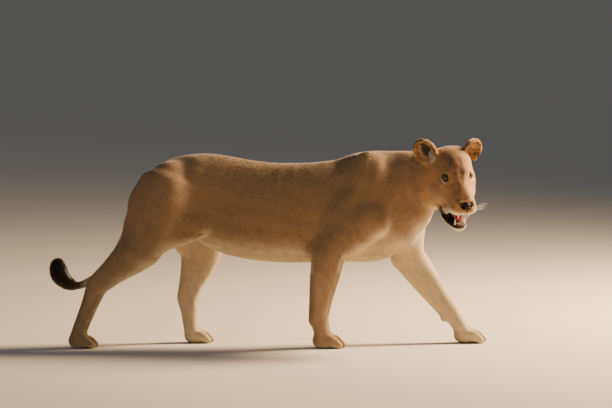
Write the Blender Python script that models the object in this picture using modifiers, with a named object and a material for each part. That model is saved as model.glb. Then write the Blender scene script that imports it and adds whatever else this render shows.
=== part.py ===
"""A walking lioness at life size, as a still museum model.

She faces +X with her left side at +Y, and stands on four flat soles at Z = 0. The body is
shaped whole: every bone carries a loft, muscles are laid over them as ellipsoids, and one
voxel skin runs them together. Cells then take the named pieces out of the whole body, with
a thin cut left between neighbours. Her head is turned to her right, with the mouth open.
"""

import math

import bmesh
import bpy
from mathutils import Euler, Matrix, Vector

# How the body is made, in metres ------------------------------------------------------
CUT = 0.0003  # gap left between neighbouring pieces
VOXEL = 0.004  # grain of the skin that runs the forms together
SMOOTHING = 80  # rounds of smoothing over the voxels
BODY_TRIANGLES = 3370
SIDES = 36  # points round a loft
STEPS = 4  # sections between one station of a loft and the next
SOLE_LEVEL = 0.009  # height at which the rounded paws are cut flat, which becomes the floor

# Landmarks of the pose, in metres: x forward, y to her left, z up ---------------------
HIND_JOINTS = {
    "right": {
        "hip": Vector((-0.470, -0.085, 0.755)),
        "knee": Vector((-0.545, -0.118, 0.470)),
        "hock": Vector((-0.770, -0.108, 0.290)),
        "ball": Vector((-0.866, -0.104, 0.062)),
        "paw": Vector((-0.838, -0.104, 0.030)),
    },
    "left": {
        "hip": Vector((-0.450, 0.085, 0.745)),
        "knee": Vector((-0.292, 0.120, 0.452)),
        "hock": Vector((-0.374, 0.112, 0.214)),
        "ball": Vector((-0.362, 0.108, 0.066)),
        "paw": Vector((-0.325, 0.108, 0.030)),
    },
}
FORE_JOINTS = {
    "right": {
        "withers": Vector((0.410, -0.050, 0.868)),
        "shoulder": Vector((0.490, -0.112, 0.605)),
        "elbow": Vector((0.254, -0.122, 0.437)),
        "wrist": Vector((0.218, -0.108, 0.150)),
        "ball": Vector((0.232, -0.104, 0.066)),
        "paw": Vector((0.262, -0.104, 0.030)),
    },
    "left": {
        "withers": Vector((0.490, 0.050, 0.838)),
        "shoulder": Vector((0.632, 0.100, 0.610)),
        "elbow": Vector((0.614, 0.114, 0.402)),
        "wrist": Vector((0.814, 0.108, 0.152)),
        "ball": Vector((0.862, 0.104, 0.076)),
        "paw": Vector((0.905, 0.104, 0.032)),
    },
}

# Girths along each bone: share of the bone, offset to the front, half depth, half width
THIGH = (
    (0.05, 0.010, 0.128, 0.066),
    (0.35, 0.004, 0.146, 0.078),
    (0.68, 0.002, 0.128, 0.068),
    (0.95, 0.004, 0.098, 0.056),
)
SHANK = (
    (0.05, -0.002, 0.096, 0.056),
    (0.38, -0.006, 0.085, 0.050),
    (0.70, -0.006, 0.063, 0.040),
    (1.00, -0.003, 0.053, 0.036),
)
HIND_CANNON = (
    (0.00, -0.002, 0.054, 0.036),
    (0.35, 0.000, 0.043, 0.033),
    (0.70, 0.002, 0.038, 0.036),
    (1.00, 0.004, 0.036, 0.043),
)
UPPER_ARM = (
    (0.00, 0.000, 0.082, 0.050),
    (0.40, -0.012, 0.098, 0.054),
    (0.80, -0.006, 0.086, 0.052),
    (1.00, 0.000, 0.074, 0.048),
)
FOREARM = (
    (0.02, 0.008, 0.081, 0.054),
    (0.22, 0.008, 0.077, 0.053),
    (0.45, 0.004, 0.069, 0.049),
    (0.75, 0.001, 0.056, 0.043),
    (1.00, 0.000, 0.048, 0.042),
)
PASTERN = ((0.0, 0.002, 0.046, 0.041), (0.5, 0.004, 0.041, 0.043), (1.0, 0.006, 0.038, 0.047))

# Trunk from rump to breast: x, height of the back, height of the belly, half width
TRUNK = (
    (-0.535, 0.790, 0.670, 0.050),
    (-0.490, 0.845, 0.610, 0.082),
    (-0.405, 0.877, 0.555, 0.104),
    (-0.315, 0.890, 0.510, 0.110),
    (-0.225, 0.878, 0.445, 0.112),
    (-0.135, 0.857, 0.405, 0.119),
    (-0.030, 0.843, 0.386, 0.127),
    (0.080, 0.838, 0.379, 0.133),
    (0.190, 0.840, 0.380, 0.133),
    (0.290, 0.850, 0.380, 0.126),
    (0.390, 0.866, 0.384, 0.118),
    (0.480, 0.872, 0.408, 0.112),
    (0.570, 0.866, 0.458, 0.104),
    (0.640, 0.840, 0.520, 0.090),
)
TRUNK_EGG = 0.16  # share by which the back is narrower and the belly wider

# Neck from the shoulders to the skull: centre, half depth, half width
NECK = (
    (Vector((0.300, 0.000, 0.660)), 0.170, 0.112),
    (Vector((0.400, 0.000, 0.690)), 0.190, 0.114),
    (Vector((0.490, 0.000, 0.708)), 0.189, 0.110),
    (Vector((0.590, 0.000, 0.729)), 0.167, 0.102),
    (Vector((0.675, -0.004, 0.747)), 0.149, 0.097),
    (Vector((0.735, -0.016, 0.758)), 0.132, 0.096),
    (Vector((0.785, -0.042, 0.768)), 0.114, 0.092),
    (Vector((0.815, -0.080, 0.774)), 0.098, 0.088),
)
NECK_EGG = 0.10

# Tail from the rump to the last bone inside the tuft
TAIL = (
    Vector((-0.440, 0.000, 0.812)),
    Vector((-0.490, 0.000, 0.797)),
    Vector((-0.534, 0.000, 0.762)),
    Vector((-0.579, 0.000, 0.706)),
    Vector((-0.617, 0.002, 0.632)),
    Vector((-0.636, 0.006, 0.558)),
    Vector((-0.660, 0.012, 0.486)),
    Vector((-0.700, 0.020, 0.414)),
    Vector((-0.750, 0.024, 0.350)),
    Vector((-0.806, 0.020, 0.302)),
    Vector((-0.862, 0.012, 0.277)),
    Vector((-0.912, 0.004, 0.286)),
    Vector((-0.943, -0.002, 0.318)),
    Vector((-0.955, -0.004, 0.352)),
    Vector((-0.954, -0.004, 0.382)),
)
TAIL_ROOT_RADIUS = 0.036
TAIL_RADIUS = 0.0205
TUFT_RADIUS = 0.0350
TUFT_STARTS = 10  # index of the tail's point where the tuft begins

# Head, in its own frame: x to the nose, y to her left, z up, from between the eyes
HEAD_PLACE = Vector((0.838, -0.180, 0.779))
HEAD_YAW, HEAD_PITCH, HEAD_ROLL = -74.5, 23.0, 5.0  # degrees: to her right, nose down, tilt
HEAD = Matrix.LocRotScale(
    HEAD_PLACE,
    Euler((math.radians(HEAD_ROLL), math.radians(HEAD_PITCH), math.radians(HEAD_YAW)), "XYZ"),
    None,
)
# Skull and muzzle: x, top, bottom, half width, share narrower on top, squareness of the section
SKULL = (
    (0.147, -0.056, -0.108, 0.037, 0.00, 2.8),
    (0.139, -0.049, -0.121, 0.047, 0.04, 2.9),
    (0.114, -0.035, -0.127, 0.052, 0.10, 2.8),
    (0.086, -0.020, -0.131, 0.054, 0.18, 2.5),
    (0.058, -0.004, -0.137, 0.057, 0.20, 2.4),
    (0.032, 0.011, -0.143, 0.063, 0.16, 2.4),
    (0.010, 0.026, -0.150, 0.071, 0.10, 2.6),
    (-0.015, 0.043, -0.156, 0.078, 0.06, 2.7),
    (-0.050, 0.063, -0.162, 0.088, 0.06, 2.6),
    (-0.090, 0.083, -0.165, 0.100, 0.08, 2.4),
    (-0.130, 0.092, -0.160, 0.108, 0.08, 2.2),
    (-0.165, 0.083, -0.148, 0.105, 0.05, 2.1),
    (-0.190, 0.060, -0.130, 0.094, 0.00, 2.0),
)
# Lower jaw, dropped open and a little to her right: x, top, bottom, half width
JAW = (
    (-0.090, -0.085, -0.186, 0.080),
    (-0.040, -0.112, -0.207, 0.074),
    (0.002, -0.150, -0.221, 0.065),
    (0.040, -0.168, -0.226, 0.053),
    (0.068, -0.177, -0.227, 0.042),
    (0.088, -0.182, -0.220, 0.030),
)
JAW_SWING = Vector((0, -0.010, 0))
EYE_RADIUS = 0.0190
EYE = Vector((-0.012, 0.0525, 0.002))
EYE_HOLLOW = (0.023, 0.0190, 0.0135)  # half sizes of the opening between the lids
EAR_HALF_WIDTH, EAR_HALF_HEIGHT, EAR_CUP = 0.055, 0.068, 0.036
EAR_THICKNESS = 0.010
# Ear of each side: centre, degrees turned out from the nose, degrees leaned out from upright
EARS = {
    "right": (Vector((-0.130, -0.117, 0.074)), 26.0, 24.0),
    "left": (Vector((-0.130, 0.104, 0.050)), 26.0, 16.0),
}


def mirrored(point, side):
    """A point given for her left, as it is on that side."""
    return Vector((point.x, point.y if side == "left" else -point.y, point.z))


TONGUE = (Vector((0.040, -0.008, -0.160)), (0.044, 0.027, 0.0135), 19.0)  # centre, half sizes, dip
# Canine teeth: root, tip and root radius, in the head's frame, given for her left
CANINES = {
    "upper": (Vector((0.103, 0.023, -0.104)), Vector((0.106, 0.0235, -0.150)), 0.0060),
    "lower": (Vector((0.076, 0.019, -0.196)), Vector((0.081, 0.021, -0.164)), 0.0055),
}


# Shaping ------------------------------------------------------------------------------
def section_axes(along):
    """The front and side directions of a section across a form that runs along."""
    side = Vector((0, 1, 0))
    side = (side - along * side.dot(along)).normalized()
    return along.cross(side), side


def dome_section(end, out, wide):
    """A section of the rounded end of a loft, from its last station."""
    centre, along, depth, width, *shape = end
    return (centre + along * depth * out * 0.6, along, depth * wide, width * wide, *shape)


def add_loft(form, stations, sides=SIDES, steps=STEPS):
    """Adds a closed loft with rounded ends.

    A station is its centre, direction, half depth, half width, share by which the front is
    narrower, and squareness of the section.
    """
    stations = between_stations(stations, steps)
    first, last = stations[0], stations[-1]
    dome = ((0.20, 0.98), (0.45, 0.90), (0.70, 0.72), (0.88, 0.45))  # how far out, and how wide
    dome = dome if steps > 1 else dome[1::2]
    before = [dome_section(first, -out, wide) for out, wide in dome]
    after = [dome_section(last, out, wide) for out, wide in dome]
    rings = []
    for centre, along, depth, width, egg, square in [*reversed(before), *stations, *after]:
        front, side = section_axes(along)
        ring = []
        for step in range(sides):
            turn = 2 * math.pi * step / sides
            ahead = math.copysign(abs(math.cos(turn)) ** (2 / square), math.cos(turn))
            across = math.copysign(abs(math.sin(turn)) ** (2 / square), math.sin(turn)) * (1 - egg * ahead)
            ring.append(form.verts.new(centre + front * depth * ahead + side * width * across))
        rings.append(ring)
    for ring, following in zip(rings, rings[1:]):
        for step in range(sides):
            after_it = (step + 1) % sides
            form.faces.new((ring[step], ring[after_it], following[after_it], following[step]))
    form.faces.new(list(reversed(rings[0])))
    form.faces.new(rings[-1])


def between_stations(stations, steps):
    """The stations of a loft with more between them, on smooth curves through them all."""
    filled = []
    for index in range(len(stations) - 1):
        four = [stations[min(max(index + shift, 0), len(stations) - 1)] for shift in (-1, 0, 1, 2)]
        for step in range(steps):
            share = step / steps
            filled.append(tuple(along_curve(*values, share) for values in zip(*four)))
    filled.append(stations[-1])
    return [(centre, along.normalized(), *rest) for centre, along, *rest in filled]


def along_curve(before, start, end, after, share):
    """A value on the smooth curve from start to end."""
    leave, arrive = (end - before) * 0.5, (after - start) * 0.5
    two, three = share * share, share * share * share
    ease_in, ease_out = 3 * two - 2 * three, three - 2 * two + share
    return start * (1 - ease_in) + end * ease_in + leave * ease_out + arrive * (three - two)


def add_bone(form, start, end, girths):
    """Adds the flesh round one bone, from its girths."""
    along = (end - start).normalized()
    front, _ = section_axes(along)
    length = (end - start).length
    stations = []
    for share, offset, depth, width in girths:
        stations.append((start + along * share * length + front * offset, along, depth, width, 0.0, 2.0))
    add_loft(form, stations)


def add_path(form, path, sides=SIDES, steps=STEPS):
    """Adds a loft along centres: each with its half depth, half width, egg and squareness."""
    stations = []
    for index, (centre, *rest) in enumerate(path):
        before = path[max(index - 1, 0)][0]
        after = path[min(index + 1, len(path) - 1)][0]
        stations.append((centre, (after - before).normalized(), *rest))
    add_loft(form, stations, sides, steps)


def add_ball(form, centre, radii, turn=None, sides=20):
    """Adds an ellipsoid."""
    matrix = Matrix.LocRotScale(centre, turn, Vector(radii))
    bmesh.ops.create_uvsphere(form, u_segments=sides, v_segments=sides * 2 // 3, radius=1, matrix=matrix)


def add_muscle(form, start, end, depth, width):
    """Adds an ellipsoid from a muscle's origin to its insertion."""
    along = (end - start).normalized()
    front, side = section_axes(along)
    turn = Matrix((front, side, along)).transposed().to_quaternion()
    add_ball(form, (start + end) / 2, (depth, width, (end - start).length / 2), turn)


def middle(x, top, low):
    """The centre and half depth of a section on the middle line, from its top and bottom."""
    return Vector((x, 0, (top + low) / 2)), (top - low) / 2


# The body's forms ---------------------------------------------------------------------
def add_trunk(form):
    add_path(form, [(*middle(x, top, low), width, TRUNK_EGG, 2.1) for x, top, low, width in TRUNK])
    add_path(form, [(*station, NECK_EGG, 2.1) for station in NECK])
    add_ball(form, Vector((0.590, 0.020, 0.550)), (0.098, 0.112, 0.118))  # breast
    add_ball(form, Vector((0.430, 0.000, 0.440)), (0.150, 0.080, 0.060))  # brisket between the forelegs


def add_tail(form):
    path = []
    last = len(TAIL) - 1
    for index, point in enumerate(TAIL):
        taper = math.exp(-index / 2.2)
        radius = TAIL_RADIUS + (TAIL_ROOT_RADIUS - TAIL_RADIUS) * taper
        if index > TUFT_STARTS:
            swell = math.sin(math.pi * min(1.0, (index - TUFT_STARTS) / (last - TUFT_STARTS) * 0.80))
            radius += (TUFT_RADIUS - TAIL_RADIUS) * swell
        path.append((point, radius, radius, 0.0, 2.0))
    add_path(form, path)


def add_hind_leg(form, side):
    joint = HIND_JOINTS[side]
    out = 1 if side == "left" else -1
    add_bone(form, joint["hip"], joint["knee"], THIGH)
    add_bone(form, joint["knee"], joint["hock"], SHANK)
    add_bone(form, joint["hock"], joint["ball"], HIND_CANNON)
    rump = Vector((-0.405, out * 0.050, 0.845))
    add_muscle(form, rump, joint["knee"].lerp(joint["hip"], 0.55), 0.105, 0.060)
    seat = Vector((-0.535, out * 0.050, 0.730))
    add_muscle(form, seat, joint["knee"].lerp(joint["hock"], 0.35), 0.078, 0.050)
    flank = Vector((-0.235, out * 0.096, 0.600))
    add_muscle(form, flank, joint["knee"], 0.075, 0.036)
    heel = joint["hock"] + (joint["hock"] - joint["ball"]).normalized() * 0.022
    back = section_axes((joint["ball"] - joint["hock"]).normalized())[0] * -0.040
    add_muscle(form, heel + back, joint["hock"].lerp(joint["ball"], 0.30) + back * 0.3, 0.020, 0.019)
    add_paw(form, joint["paw"], 0.92)


def add_foreleg(form, side):
    joint = FORE_JOINTS[side]
    out = 1 if side == "left" else -1
    blade = joint["withers"] + Vector((0.01, 0, 0.030))
    add_muscle(form, blade, joint["shoulder"] + Vector((0, 0, -0.030)), 0.105, 0.042)
    add_bone(form, joint["shoulder"], joint["elbow"], UPPER_ARM)
    triceps = joint["withers"].lerp(joint["shoulder"], 0.55) + Vector((-0.055, out * 0.016, 0))
    add_muscle(form, triceps, joint["elbow"] + Vector((-0.01, 0, 0.0)), 0.090, 0.042)
    add_bone(form, joint["elbow"], joint["wrist"], FOREARM)
    add_ball(form, joint["elbow"], (0.078, 0.054, 0.080))
    add_ball(form, joint["elbow"] + Vector((-0.030, out * 0.004, 0.010)), (0.036, 0.034, 0.045))
    add_bone(form, joint["wrist"], joint["ball"], PASTERN)
    pad = section_axes((joint["ball"] - joint["wrist"]).normalized())[0] * -0.038
    add_ball(form, joint["wrist"] + pad * 0.85 + Vector((0, 0, -0.014)), (0.018, 0.020, 0.024))
    add_paw(form, joint["paw"], 1.0)


def add_paw(form, centre, size):
    """Adds a broad cat's paw: a padded palm and four toes, two of them further forward."""
    add_ball(form, centre + Vector((-0.016, 0, 0.012)) * size, Vector((0.060, 0.053, 0.040)) * size)
    for across, forward in ((-0.040, 0.030), (-0.0145, 0.046), (0.0145, 0.046), (0.040, 0.030)):
        knuckle = centre + Vector((forward - 0.010, across, 0.012)) * size
        bent = Euler((0, math.radians(22), 0)).to_quaternion()
        add_ball(form, knuckle, Vector((0.034, 0.0178, 0.027)) * size, bent)
        tip = centre + Vector((forward + 0.018, across, -0.006)) * size
        add_ball(form, tip, Vector((0.020, 0.0150, 0.018)) * size)


# The head's forms, in the head's own frame ---------------------------------------------
def head_forms():
    form = bmesh.new()
    forward = [(*middle(x, top, low), *rest) for x, top, low, *rest in reversed(SKULL)]
    add_path(form, forward)
    jaw = []
    for x, top, low, width in JAW:
        centre, depth = middle(x, top, low)
        jaw.append((centre + JAW_SWING * ramp(x, -0.09, 0.01), depth, width, 0.0, 2.2))
    add_path(form, jaw)
    for side in (1, -1):
        add_ball(form, Vector((0.106, side * 0.029, -0.098)), (0.039, 0.029, 0.032))  # whisker pad
        add_ball(form, Vector((0.068, side * 0.037, -0.115)), (0.056, 0.025, 0.030))  # flews
        add_ball(form, Vector((0.020, side * 0.052, -0.140)), (0.036, 0.018, 0.028))  # lips' corner
        add_ball(form, Vector((-0.075, side * 0.062, -0.095)), (0.078, 0.042, 0.068))  # cheek
        add_ball(form, Vector((-0.140, side * 0.082, -0.078)), (0.074, 0.050, 0.088))  # ruff behind it
        add_ball(form, Vector((-0.042, side * 0.066, -0.028)), (0.060, 0.021, 0.022))  # cheek bone
    add_ball(form, Vector((0.082, 0, -0.204)) + JAW_SWING, (0.026, 0.028, 0.021))  # chin
    bmesh.ops.transform(form, matrix=HEAD, verts=form.verts)
    return form


def ear_place(side):
    centre, splay, lean = EARS[side]
    out = 1 if side == "left" else -1
    turn = Matrix.Rotation(math.radians(out * splay), 4, "Z")
    return HEAD @ Matrix.Translation(centre) @ turn @ Matrix.Rotation(math.radians(-out * lean), 4, "X")


def ear_form(side):
    """The ear's cup: a shell open to the front, turned and leaned out."""
    form = bmesh.new()
    bmesh.ops.create_uvsphere(form, u_segments=28, v_segments=20, radius=1)
    mouth = [v for v in form.verts if v.co.x > 0.30 + 0.25 * v.co.z]
    bmesh.ops.delete(form, geom=mouth, context="VERTS")
    bmesh.ops.scale(form, vec=(EAR_CUP, EAR_HALF_WIDTH, EAR_HALF_HEIGHT), verts=form.verts)
    bmesh.ops.solidify(form, geom=form.faces[:], thickness=EAR_THICKNESS)
    bmesh.ops.transform(form, matrix=ear_place(side), verts=form.verts)
    bmesh.ops.recalc_face_normals(form, faces=form.faces)
    return form


# Meshes -------------------------------------------------------------------------------
def new_object(name, mesh, collection):
    thing = bpy.data.objects.new(name, mesh)
    collection.objects.link(thing)
    return thing


def mesh_of(form, name="form"):
    mesh = bpy.data.meshes.new(name)
    form.to_mesh(mesh)
    form.free()
    return mesh


def evaluated_mesh(thing):
    """The object's mesh with its modifiers, as a mesh of its own."""
    graph = bpy.context.evaluated_depsgraph_get()
    return bpy.data.meshes.new_from_object(thing.evaluated_get(graph))


def whole_body(collection):
    """Runs all the forms together under one skin, lightens it and cuts the soles flat."""
    forms = bmesh.new()
    add_trunk(forms)
    add_tail(forms)
    for side in ("left", "right"):
        add_hind_leg(forms, side)
        add_foreleg(forms, side)
    for more in (head_forms(), ear_form("left"), ear_form("right")):
        forms.from_mesh(mesh_of(more))
    bmesh.ops.recalc_face_normals(forms, faces=forms.faces)
    body = new_object("whole_body", mesh_of(forms), collection)
    skin = body.modifiers.new("skin", "REMESH")
    skin.mode = "VOXEL"
    skin.voxel_size = VOXEL
    body.data = evaluated_mesh(body)
    body.modifiers.clear()
    share_out(body, "soft", soft_share)
    ease = body.modifiers.new("ease", "SMOOTH")
    ease.factor = 0.5
    ease.iterations = SMOOTHING
    ease.vertex_group = "soft"
    body.data = evaluated_mesh(body)
    body.modifiers.clear()
    share_out(body, "spread", spread_share)
    lighten = body.modifiers.new("lighten", "DECIMATE")
    lighten.vertex_group = "spread"
    lighten.use_collapse_triangulate = True
    lighten.vertex_group_factor = 0.15
    lighten.ratio = BODY_TRIANGLES / (2 * len(body.data.polygons))
    body.data = evaluated_mesh(body)
    body.modifiers.clear()
    flatten_soles(body.data)
    return body


def share_out(thing, name, share):
    """Gives every point of an object its share in a vertex group."""
    group = thing.vertex_groups.new(name=name)
    for vertex in thing.data.vertices:
        group.add([vertex.index], share(vertex.co), "REPLACE")


def nearness(point, centre, inner, outer):
    """1 within the inner radius, falling to 0 at the outer."""
    return min(1.0, max(0.0, (outer - (point - centre).length) / (outer - inner)))


def ramp(value, low, high):
    """0 at the low value, rising evenly to 1 at the high one."""
    return min(1.0, max(0.0, (value - low) / (high - low)))


def soft_share(point):
    """How far the skin is smoothed here: most on the trunk, least on ears, paws and tail."""
    share = 0.10 + 0.30 * ramp(point.z, 0.10, 0.30)
    if point.z > 0.34:
        share = 0.40 + 0.60 * ramp(point.z, 0.34, 0.44)
    head = nearness(point, HEAD @ Vector((0.0, 0, -0.04)), 0.17, 0.26)
    share = share * (1 - head) + 0.10 * head
    for side in EARS:
        ear = nearness(point, ear_place(side).translation, 0.075, 0.095)
        share = share * (1 - ear) + 0.04 * ear
    tail = ramp(-point.x, 0.57, 0.63) * (1 - ramp(abs(point.y), 0.056, 0.064))
    return share * (1 - tail) + 0.08 * tail


def spread_share(point):
    """How freely the skin may be lightened here: least on the head and the paws."""
    if nearness(point, HEAD_PLACE, 0.25, 0.26) > 0.5:
        return 0.80
    return 0.60 if point.z < 0.09 else 1.0


def flatten_soles(mesh):
    form = bmesh.new()
    form.from_mesh(mesh)
    everything = form.verts[:] + form.edges[:] + form.faces[:]
    floor = {"plane_co": (0, 0, SOLE_LEVEL), "plane_no": (0, 0, 1)}
    cut = bmesh.ops.bisect_plane(form, geom=everything, clear_inner=True, **floor)
    edges = [piece for piece in cut["geom_cut"] if isinstance(piece, bmesh.types.BMEdge)]
    bmesh.ops.holes_fill(form, edges=edges)
    form.to_mesh(mesh)
    form.free()


# Parting the body -----------------------------------------------------------------------
def facing(point, along):
    """A frame at a point with its x axis along a direction, and its y axis level."""
    along = Vector(along).normalized()
    level = Vector((-along.y, along.x, 0))
    if level.length < 0.5:
        level = Vector((0, 1, 0))
    level = (-level if level.y < 0 else level).normalized()
    turn = Matrix((along, level, along.cross(level))).transposed()
    return Matrix.Translation(Vector(point)) @ turn.to_4x4()


def box_cell(frame, low, high):
    """A maker of boxes in a frame, grown by the amount asked for."""

    def make(growth):
        low_corner, high_corner = Vector(low) - Vector([growth] * 3), Vector(high) + Vector([growth] * 3)
        form = bmesh.new()
        place = Matrix.LocRotScale((low_corner + high_corner) / 2, None, high_corner - low_corner)
        bmesh.ops.create_cube(form, size=1, matrix=frame @ place)
        return form

    return make


def ball_cell(frame, radii):
    """A maker of ellipsoids in a frame, grown by the amount asked for."""

    def make(growth):
        form = bmesh.new()
        add_ball(form, Vector((0, 0, 0)), [radius + growth for radius in radii], None, 12)
        bmesh.ops.triangulate(form, faces=form.faces, quad_method="FIXED")
        bmesh.ops.transform(form, matrix=frame, verts=form.verts)
        return form

    return make


def path_cell(path, sides):
    """A maker of lofts along centres with half depths and half widths, grown as asked."""

    def make(growth):
        form = bmesh.new()
        grown = [(Vector(at), depth + growth, width + growth, 0.0, 2.0) for at, depth, width in path]
        add_path(form, grown, sides, 1)
        bmesh.ops.triangulate(form, faces=form.faces, quad_method="FIXED")
        return closed(form)

    return make


def closed(form):
    """The form with its faces pointing out."""
    bmesh.ops.recalc_face_normals(form, faces=form.faces)
    return form


def combine(thing, form, operation):
    """Applies a Boolean of a form to an object."""
    cutter = new_object("cutter", mesh_of(form), cutters)
    cutter.hide_render = True
    cutter.display_type = "WIRE"
    change = thing.modifiers.new("cut", "BOOLEAN")
    change.operation = operation
    change.solver = "EXACT"
    change.object = cutter
    thing.data = evaluated_mesh(thing)
    thing.modifiers.clear()
    bpy.data.objects.remove(cutter)


def part_from(body, name, cell):
    """Parts a named piece from the body: what lies in the cell, with a thin cut round it."""
    piece = new_object(name, body.data.copy(), lioness)
    combine(piece, cell(0.0), "INTERSECT")
    combine(body, cell(CUT), "DIFFERENCE")
    return piece


def eye_place(side):
    out = 1 if side == "left" else -1
    turn = Euler((0, math.radians(-6), math.radians(out * 30)), "XYZ")
    return HEAD @ Matrix.LocRotScale(mirrored(EYE, side), turn, None)


def tongue_form(growth):
    centre, radii, down = TONGUE
    form = bmesh.new()
    turn = Euler((0, math.radians(down), 0)).to_quaternion()
    add_ball(form, centre, [radius + growth for radius in radii], turn, 12)
    bmesh.ops.transform(form, matrix=HEAD, verts=form.verts)
    return form


def canine_form(row, side, growth):
    root, tip, radius = CANINES[row]
    swing = JAW_SWING if row == "lower" else Vector((0, 0, 0))
    start, end = mirrored(root, side) + swing, mirrored(tip, side) + swing
    form = bmesh.new()
    place = HEAD @ Matrix.LocRotScale((start + end) / 2, (end - start).to_track_quat("Z", "Y"), None)
    length = (end - start).length + 2 * growth
    wide, fine = radius + growth, 0.0014 + growth
    bmesh.ops.create_cone(
        form, cap_ends=True, segments=8, radius1=wide, radius2=fine, depth=length, matrix=place
    )
    return form


def seat_mouth_and_eyes(body):
    """Makes the eyes, tongue and teeth, and hollows the body to seat each of them."""
    for side in ("left", "right"):
        place = eye_place(side)
        slant = Matrix.Rotation(math.radians(12 if side == "left" else -12), 4, "X")
        hollow = place @ Matrix.Translation((0.020, 0, 0)) @ slant
        combine(body, ball_cell(hollow, EYE_HOLLOW)(0.0), "DIFFERENCE")
        combine(body, ball_cell(place, [EYE_RADIUS] * 3)(CUT), "DIFFERENCE")
        new_object("eye_" + side, mesh_of(ball_cell(place, [EYE_RADIUS] * 3)(0.0)), lioness)
        for row in CANINES:
            combine(body, canine_form(row, side, CUT), "DIFFERENCE")
            new_object("canine_" + row + "_" + side, mesh_of(canine_form(row, side, 0.0)), lioness)
    combine(body, tongue_form(CUT), "DIFFERENCE")
    new_object("tongue", mesh_of(tongue_form(0.0)), lioness)


def part_head(body):
    for side in EARS:
        frame = ear_place(side) @ Matrix.Translation((-0.010, 0, 0.016))
        part_from(body, "ear_" + side, ball_cell(frame, (0.062, 0.074, 0.074)))
    bite = HEAD @ Matrix.Translation((0, 0, -0.150)) @ Matrix.Rotation(math.atan(0.15), 4, "Y")
    part_from(body, "jaw", box_cell(bite, (-0.045, -0.12, -0.070), (0.20, 0.12, 0.0)))
    nape = facing((0.722, -0.036, 0.770), (0.76, -0.62, 0.15))
    part_from(body, "head", box_cell(nape, (0, -0.32, -0.27), (0.45, 0.32, 0.25)))
    withers = facing((0.690, 0.0, 0.600), (0.832, 0, 0.555))
    part_from(body, "neck", box_cell(withers, (0, -0.30, -0.30), (0.50, 0.30, 0.45)))


def part_tail(body):
    def beyond(index, low, high):
        return box_cell(facing(TAIL[index], TAIL[index + 1] - TAIL[index - 1]), low, high)

    part_from(body, "tail_tuft", beyond(TUFT_STARTS, (0, -0.055, -0.16), (0.20, 0.07, 0.16)))
    part_from(body, "tail_end", beyond(8, (0, -0.055, -0.09), (0.20, 0.07, 0.09)))
    part_from(body, "tail_middle", beyond(6, (0, -0.05, -0.06), (0.22, 0.045, 0.06)))
    tube = [(point, TAIL_RADIUS + 0.012, TAIL_RADIUS + 0.012) for point in TAIL[3:8]]
    part_from(body, "tail_base", path_cell(tube, 12))


def part_legs(body):
    for side, limbs in LEG_CUTS.items():
        out = 1 if side == "left" else -1
        near, far = out * 0.125 - 0.105, out * 0.125 + 0.105
        for names, (*cuts, outline) in zip(LEG_PIECES, limbs):
            for name, (x, z, along_x, along_z) in zip(names, cuts):
                frame = facing((x, 0, z), (along_x, 0, along_z))
                part_from(body, name + side, box_cell(frame, (0, near, -0.16), (0.40, far, 0.16)))
            cell = [((x, out * y, z), depth, width) for x, y, z, depth, width in outline]
            part_from(body, names[-1] + side, path_cell(cell, 14))


def part_trunk(body):
    for name, x in (("chest", 0.150), ("belly", -0.170)):
        part_from(body, name, box_cell(facing((x, 0, 0.5), (1, 0, 0)), (0, -0.4, -0.6), (0.9, 0.4, 0.6)))
    body.name = "hindquarters"


LEG_PIECES = (("hind_paw_", "hock_", "shank_", "thigh_"), ("fore_paw_", "forearm_", "shoulder_"))
# Where each leg is parted. A cut is x, z and the direction down the leg. The last entry of
# each limb is the outline of its uppermost piece: x, y out, z, half depth, half width.
LEG_CUTS = {
    "right": (
        (
            (-0.850, 0.100, -0.388, -0.920),
            (-0.775, 0.285, -0.600, -0.790),
            (-0.600, 0.430, -0.780, -0.620),
            (
                (-0.440, 0.20, 0.840, 0.11, 0.12),
                (-0.470, 0.20, 0.740, 0.16, 0.14),
                (-0.500, 0.20, 0.600, 0.16, 0.14),
                (-0.555, 0.19, 0.500, 0.13, 0.135),
                (-0.610, 0.18, 0.430, 0.10, 0.12),
            ),
        ),
        (
            (0.225, 0.105, 0.164, -0.986),
            (0.240, 0.362, 0.0, -1.0),
            (
                (0.430, 0.20, 0.860, 0.10, 0.13),
                (0.420, 0.20, 0.720, 0.14, 0.14),
                (0.360, 0.20, 0.570, 0.14, 0.145),
                (0.270, 0.20, 0.450, 0.13, 0.15),
                (0.240, 0.20, 0.350, 0.12, 0.15),
            ),
        ),
    ),
    "left": (
        (
            (-0.366, 0.100, 0.080, -0.997),
            (-0.374, 0.220, -0.130, -0.990),
            (-0.308, 0.404, -0.330, -0.945),
            (
                (-0.440, 0.20, 0.840, 0.11, 0.12),
                (-0.420, 0.20, 0.740, 0.15, 0.14),
                (-0.360, 0.20, 0.600, 0.15, 0.14),
                (-0.310, 0.19, 0.490, 0.12, 0.135),
                (-0.300, 0.18, 0.400, 0.10, 0.12),
            ),
        ),
        (
            (0.835, 0.112, 0.588, -0.809),
            (0.646, 0.362, 0.640, -0.768),
            (
                (0.500, 0.20, 0.860, 0.10, 0.13),
                (0.550, 0.20, 0.720, 0.14, 0.14),
                (0.610, 0.20, 0.600, 0.14, 0.14),
                (0.620, 0.20, 0.470, 0.15, 0.15),
                (0.640, 0.20, 0.340, 0.15, 0.15),
            ),
        ),
    ),
}

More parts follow.
